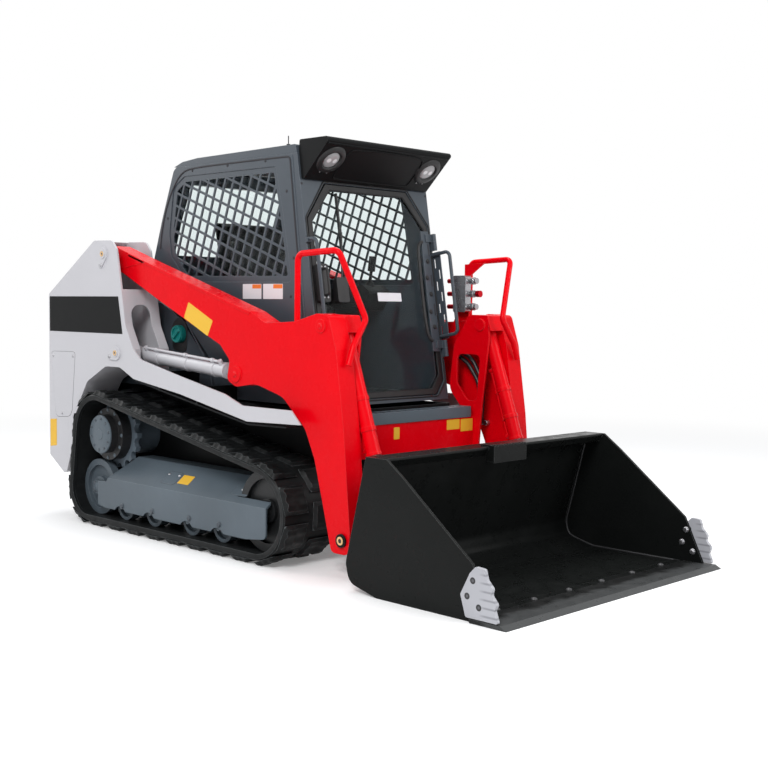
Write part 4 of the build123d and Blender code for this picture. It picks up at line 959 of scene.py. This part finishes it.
# The visor's face, which looks ahead and down: (y, distance up its slope), with its height off it.
VISOR = [(0.132, 0, 1.772), (0, 1, 0), (0.7149, 0, 0.6992), (0.6992, 0, -0.7149)]
LAMP_ALONG = 0.139            # distance of the lamps up its slope


def visor():
    """The lamps' black rings and lenses, small bolts, and the ridges round the visor's middle panel."""
    spots = at(VISOR, [(sign * LAMP[1], LAMP_ALONG) for sign in BOTH])
    ring = turned([(0.0455, -0.002), (0.0455, 0.004), (0.052, 0.010), (0.066, 0.009), (0.076, 0.004),
                   (0.079, -0.001)], 40, wrap=True)
    piece("lamp_rings", copies(ring, spots), "plastic", "cab")
    lens = turned([(0, -0.004), (0.0452, -0.004), (0.0452, 0.001), (0.042, 0.004), (0.030, 0.0065),
                   (0.015, 0.0078), (0, 0.008)], 40)
    piece("lamp_lenses", copies(lens, spots), "lamp", "cab")
    bolts = [(sign * LAMP[1] + gap, 0.062) for sign in BOTH for gap in (-0.022, 0.022)]
    piece("visor_bolts", copies(dome(0.0045), at(VISOR, bolts)), "zinc", "cab")
    half = [(-0.245, 0.028), (-0.262, 0.045), (-0.262, 0.180), (-0.235, 0.222)]
    panel = half + [(-y, s) for y, s in reversed(half)]
    path = eased([(y, s, 0.0) for y, s in panel], 6, closed=True)
    top = eased([(y, 0.234, 0.0) for y in (-0.414, -0.2, 0.0, 0.2, 0.414)], 4)
    ridges = join(tube(path, 0.0045, across=(0, 0, 1), closed=True, sides=10),
                  tube(top, 0.0055, across=(0, 0, 1), sides=10))
    piece("visor_ridges", copies(ridges, [VISOR]), "black", "cab")


# ---- arms --------------------------------------------------------------------------------------
ARM_FACE = 0.637              # the arms' outer faces, across the machine
BUCKET_PIN, BUCKET_PIN_TOP = (0.645, 0.170), 0.011   # the pins' places, and their height over the arms' faces


def arms():
    """Flange strips and rear facets, blank labels and pin fittings on the arms, and the bucket pins' ends."""
    upper = np.array([(-0.985, 1.4495), (-0.832, 1.4035), (-0.420, 1.2825), (0.009, 1.157)])
    lower = np.array([(-0.985, 1.4345), (-0.832, 1.3885), (-0.420, 1.2675), (0.005, 1.143)])
    facet = plate([(-0.995, 1.447), (-0.835, 1.400), (-1.015, 1.374)], 0.0, 0.0035, 0.002)
    strip = ribbon(upper, lower, 0.0, 0.0035)
    piece("arm_flanges", on_sides(join(strip, facet), ARM_FACE), "red", "lift_arms")
    label = rounded([(-0.465, 1.199), (-0.270, 1.110), (-0.311, 1.035), (-0.503, 1.121)], 0.006)
    piece("arm_labels", on_sides(plate(label, 0.0001, 0.0010, 0.0004), ARM_FACE), "yellow", "lift_arms")
    pins = sides_at(ARM_FACE + BUCKET_PIN_TOP, [BUCKET_PIN])
    pin_cup = turned([(0.019, 0), (0.019, 0.003), (0.010, 0.003), (0.010, 0)], 28, wrap=True)
    piece("bucket_pin_rings", copies(pin_cup, pins), "brass", "bucket")
    spots = [(-0.091, 0.860), (0.503, 1.100)]
    piece("arm_pin_bolts", bolts_on_sides(0.011, ARM_FACE + 0.008, spots), "red", "lift_arms")
    # A dark disc on each bucket pin's end: painted shade for its hole.
    dark = turned([(0, 0), (0.010, 0), (0.010, 0.0012), (0, 0.0012)], 20)
    piece("bucket_pin_holes", copies(dark, pins), "seam", "bucket")
    crossmember_labels()


def ribbon(first, second, low, high):
    """A flat strip between two lines with the same number of points, closed all round."""
    columns = [np.column_stack((line, np.full(len(line), h)))
               for line, h in ((first, low), (second, low), (second, high), (first, high))]
    grid = np.stack(columns, 1)
    ends = [np.broadcast_to(grid[i].mean(0), (1, 4, 3)) for i in (0, -1)]
    return surface(np.concatenate((ends[0], grid, ends[1])))


def axis_frame(base, eye, y, distance):
    """A frame at a distance along the line from base to eye, both (x, z), at y; its z axis is the line."""
    run = np.array(eye, float) - base
    run /= np.linalg.norm(run)
    spot = base + run * distance
    return [(spot[0], y, spot[1]), (0, 1, 0), (-run[1], 0, run[0]), (run[0], 0, run[1])]


def collar(radius, wall, width):
    """A flat band round a tube, with small chamfers."""
    low, high, edge = radius - 0.001, radius + wall, 0.001
    return turned([(low, 0), (high - edge, 0), (high, edge), (high, width - edge), (high - edge, width),
                   (low, width)], 32, wrap=True)


# kind, base pin, rod's eye, y, barrel's radius, distances of its clamps and its end, look, side of its pipe.
CYLINDERS = (
    ("lift", (-1.005, 0.930), (-0.091, 0.860), 0.590, 0.038, (0.235, 0.480, 0.700), 0.786, "white", (25, 35)),
    ("tilt", (0.503, 1.100), (0.763, 0.360), 0.500, 0.033, (0.330, 0.470), 0.585, "red", (0, -44)),
)


def cylinders():
    """Clamp bands, pipe clips and end collars on the cylinders, and hose ferrules in the left knee."""
    for kind, base, eye, y, radius, bands, end, look, lean in CYLINDERS:
        reach = (lean[0] ** 2 + lean[1] ** 2) ** 0.5
        aside, above = ((radius + 0.014) * part / reach for part in lean)
        for sign, hand in zip(BOTH, ("right", "left")):
            frames = [axis_frame(base, eye, sign * y, distance) for distance in bands]
            clips = [[frame[0] + aside * sign * np.array(frame[1]) + above * np.array(frame[2]), *frame[1:]]
                     for frame in frames]
            shape = join(copies(collar(radius, 0.0035, 0.020), frames),
                         copies(collar(0.007, 0.004, 0.020), clips),
                         copies(collar(radius, 0.0022, 0.014), [axis_frame(base, eye, sign * y, end)]))
            piece(kind + "_clamps_" + hand, shape, look, kind + "_barrel_" + hand)
    ferrule = turned([(0.0095, 0), (0.0135, 0.0005), (0.0135, 0.022), (0.0115, 0.024), (0.0095, 0.024)], 20,
                     wrap=True)
    gap = 0.026
    places = [(0.292, 0.985), (0.292, 0.985 - gap), (0.486, 0.600), (0.486 - gap, 0.600)]
    frames = [[(x, 0.5395, z), (1, 0, 0), (0, 0, 1), (0, -1, 0)] for x, z in places]
    piece("hose_ferrules", copies(ferrule, frames), "zinc", "lift_arms")


def crossmember_labels():
    """Blank labels on the crossmember's front."""
    spans = [(0.244, 0.340, 0.580, 0.630), (0.349, 0.440, 0.566, 0.628), (-0.133, -0.094, 0.560, 0.617)]
    labels = [plate(rect(*span), 0.0002, 0.0010, 0.0004) for span in spans]
    piece("crossmember_labels", copies(join(*labels), [upright(0.465, 1)]), "yellow", "lift_arms")


# ---- bucket ------------------------------------------------------------------------------------
FLOOR_TOP, EDGE_STRIP = 0.010, 0.0045   # the floor's height, and the edge strip's thickness on it
SIDE_INNER = 0.7595                     # the sides' inner faces, across the machine


def bucket():
    """The strip behind the cutting edge and its bolts, weld beads in the inner corners, and cutter nuts."""
    strip = box(1.4525, 1.5340, -0.755, 0.755, -0.0005, EDGE_STRIP, 0.0018)
    piece("edge_strip", copies(strip, [level(FLOOR_TOP)]), "bucket", "bucket")
    spots = [(1.478, y) for y in np.linspace(-0.595, 0.595, 6)]
    piece("edge_bolts", copies(dome(0.015, 0.6), at(level(FLOOR_TOP + EDGE_STRIP), spots)), "weld", "bucket")
    inner = [(0.930, 0.515), (0.8355, 0.150), (0.826, 0.112), (0.840, 0.058), (0.870, 0.040), (0.975, 0.014),
             (1.000, 0.0105), (1.480, 0.0105)]
    path = eased([(x, SIDE_INNER - 0.001, z) for x, z in inner], 8)
    piece("weld_beads", lines_on_sides(path, 0.0042), "weld", "bucket")
    spots = [(1.508, 0.163), (1.489, 0.102), (1.545, 0.064)]
    inward = sides_at(SIDE_INNER, spots) * np.array([1, 1, 1, -1])[:, None]
    piece("cutter_nuts", copies(bolt(0.011, 0.9), inward), "zinc", "bucket")


# ---- seat --------------------------------------------------------------------------------------
def cushion(name, centre, half, lean, grooves):
    """A padded block: a squared ball, swollen, pressed in along its seams and turned by its lean.

    Point = half (sq(cos u) sq(cos v), sq(cos u) sq(sin v), sq(sin u)) with sq(w) = sign(w) |w|^0.32.
    A seam at y = g presses the top down by 0.008 exp(-((y - g) / 0.006)^2).
    """
    u, v = np.meshgrid(np.linspace(-pi / 2, pi / 2, 25), np.linspace(-pi, pi, 48, endpoint=False),
                       indexing="ij")

    def squared(value):
        """Keep the sign, and push the size towards 1."""
        return np.sign(value) * np.abs(value) ** 0.32

    ball = np.stack((squared(np.cos(u)) * squared(np.cos(v)), squared(np.cos(u)) * squared(np.sin(v)),
                     squared(np.sin(u))), -1) * half
    made = piece(name, surface(ball), "vinyl", "cab")
    puff(made, 0.010)
    mesh = made.data
    points = np.empty(len(mesh.vertices) * 3)
    mesh.vertices.foreach_get("co", points)
    points = points.reshape(-1, 3)
    for y in grooves:
        points[:, 2] -= np.where(points[:, 2] > 0, 0.008 * np.exp(-((points[:, 1] - y) / 0.006) ** 2), 0)
    turn = np.array([(cos(lean), 0, -sin(lean)), (0, 1, 0), (sin(lean), 0, cos(lean))])
    points = points @ turn + centre
    mesh.vertices.foreach_set("co", points.ravel())
    mesh.update()


def puff(made, cap):
    """Swell a closed mesh as cloth under inner pressure; no point moves further than the cap."""
    even = made.modifiers.new("even", "REMESH")
    even.mode = "VOXEL"
    even.voxel_size = 0.006
    graph = bpy.context.evaluated_depsgraph_get()
    mesh = bpy.data.meshes.new_from_object(made.evaluated_get(graph))
    made.modifiers.clear()
    made.data = mesh
    start = np.empty(len(mesh.vertices) * 3)
    mesh.vertices.foreach_get("co", start)
    cloth = made.modifiers.new("cloth", "CLOTH")
    cloth.settings.use_pressure = True
    cloth.settings.uniform_pressure_force = 4
    cloth.settings.effector_weights.gravity = 0
    for step in range(1, 21):
        bpy.context.scene.frame_set(step)
    swollen = made.evaluated_get(bpy.context.evaluated_depsgraph_get()).data
    end = np.empty(len(mesh.vertices) * 3)
    swollen.vertices.foreach_get("co", end)
    made.modifiers.clear()
    bpy.context.scene.frame_set(1)
    move = (end - start).reshape(-1, 3)
    size = np.maximum(np.linalg.norm(move, axis=1, keepdims=True), 1e-9)
    move *= np.minimum(size, cap) / size
    mesh.vertices.foreach_set("co", (start.reshape(-1, 3) + move).ravel())
    mesh.shade_smooth()
    mesh.update()


def seat():
    """The operator's seat: two sewn cushions on a moulded shell and pedestal, outlines carried across."""
    grooves = (-0.14, 0.0, 0.14)
    cushion("seat_cushion", (-0.425, 0, 1.135), (0.165, 0.215, 0.042), radians(-3), grooves)
    cushion("seat_back", (-0.690, 0, 1.415), (0.210, 0.205, 0.040), radians(-104), grooves)
    floor_top = 0.7445
    pedestal = rounded([(-0.300, 1.085), (-0.300, floor_top), (-0.440, floor_top), (-0.490, 0.945),
                        (-0.620, 1.060), (-0.620, 1.085)], 0.012)
    shell = rounded([(-0.270, 1.085), (-0.640, 1.085), (-0.700, 1.130), (-0.800, 1.600), (-0.775, 1.625),
                     (-0.730, 1.600), (-0.655, 1.180), (-0.620, 1.115), (-0.270, 1.110)], 0.012)
    made = piece("seat_shell", join(prism(pedestal, 0.17), prism(shell, 0.215)), "plastic", "cab")
    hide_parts("seat")


def prism(rim, half):
    """An outline (x, z) carried across the machine, from y = -half to y = half, with open ends."""
    rings = [np.column_stack((rim[:, 0], np.full(len(rim), y), rim[:, 1])) for y in (-half, half)]
    return surface(np.stack(rings))


camera()
stage()
paint_nodes()
tracks()
running_gear()
towers()
body_sides()
rear()
cab_front()
cab_sides()
visor()
arms()
cylinders()
bucket()
seat()
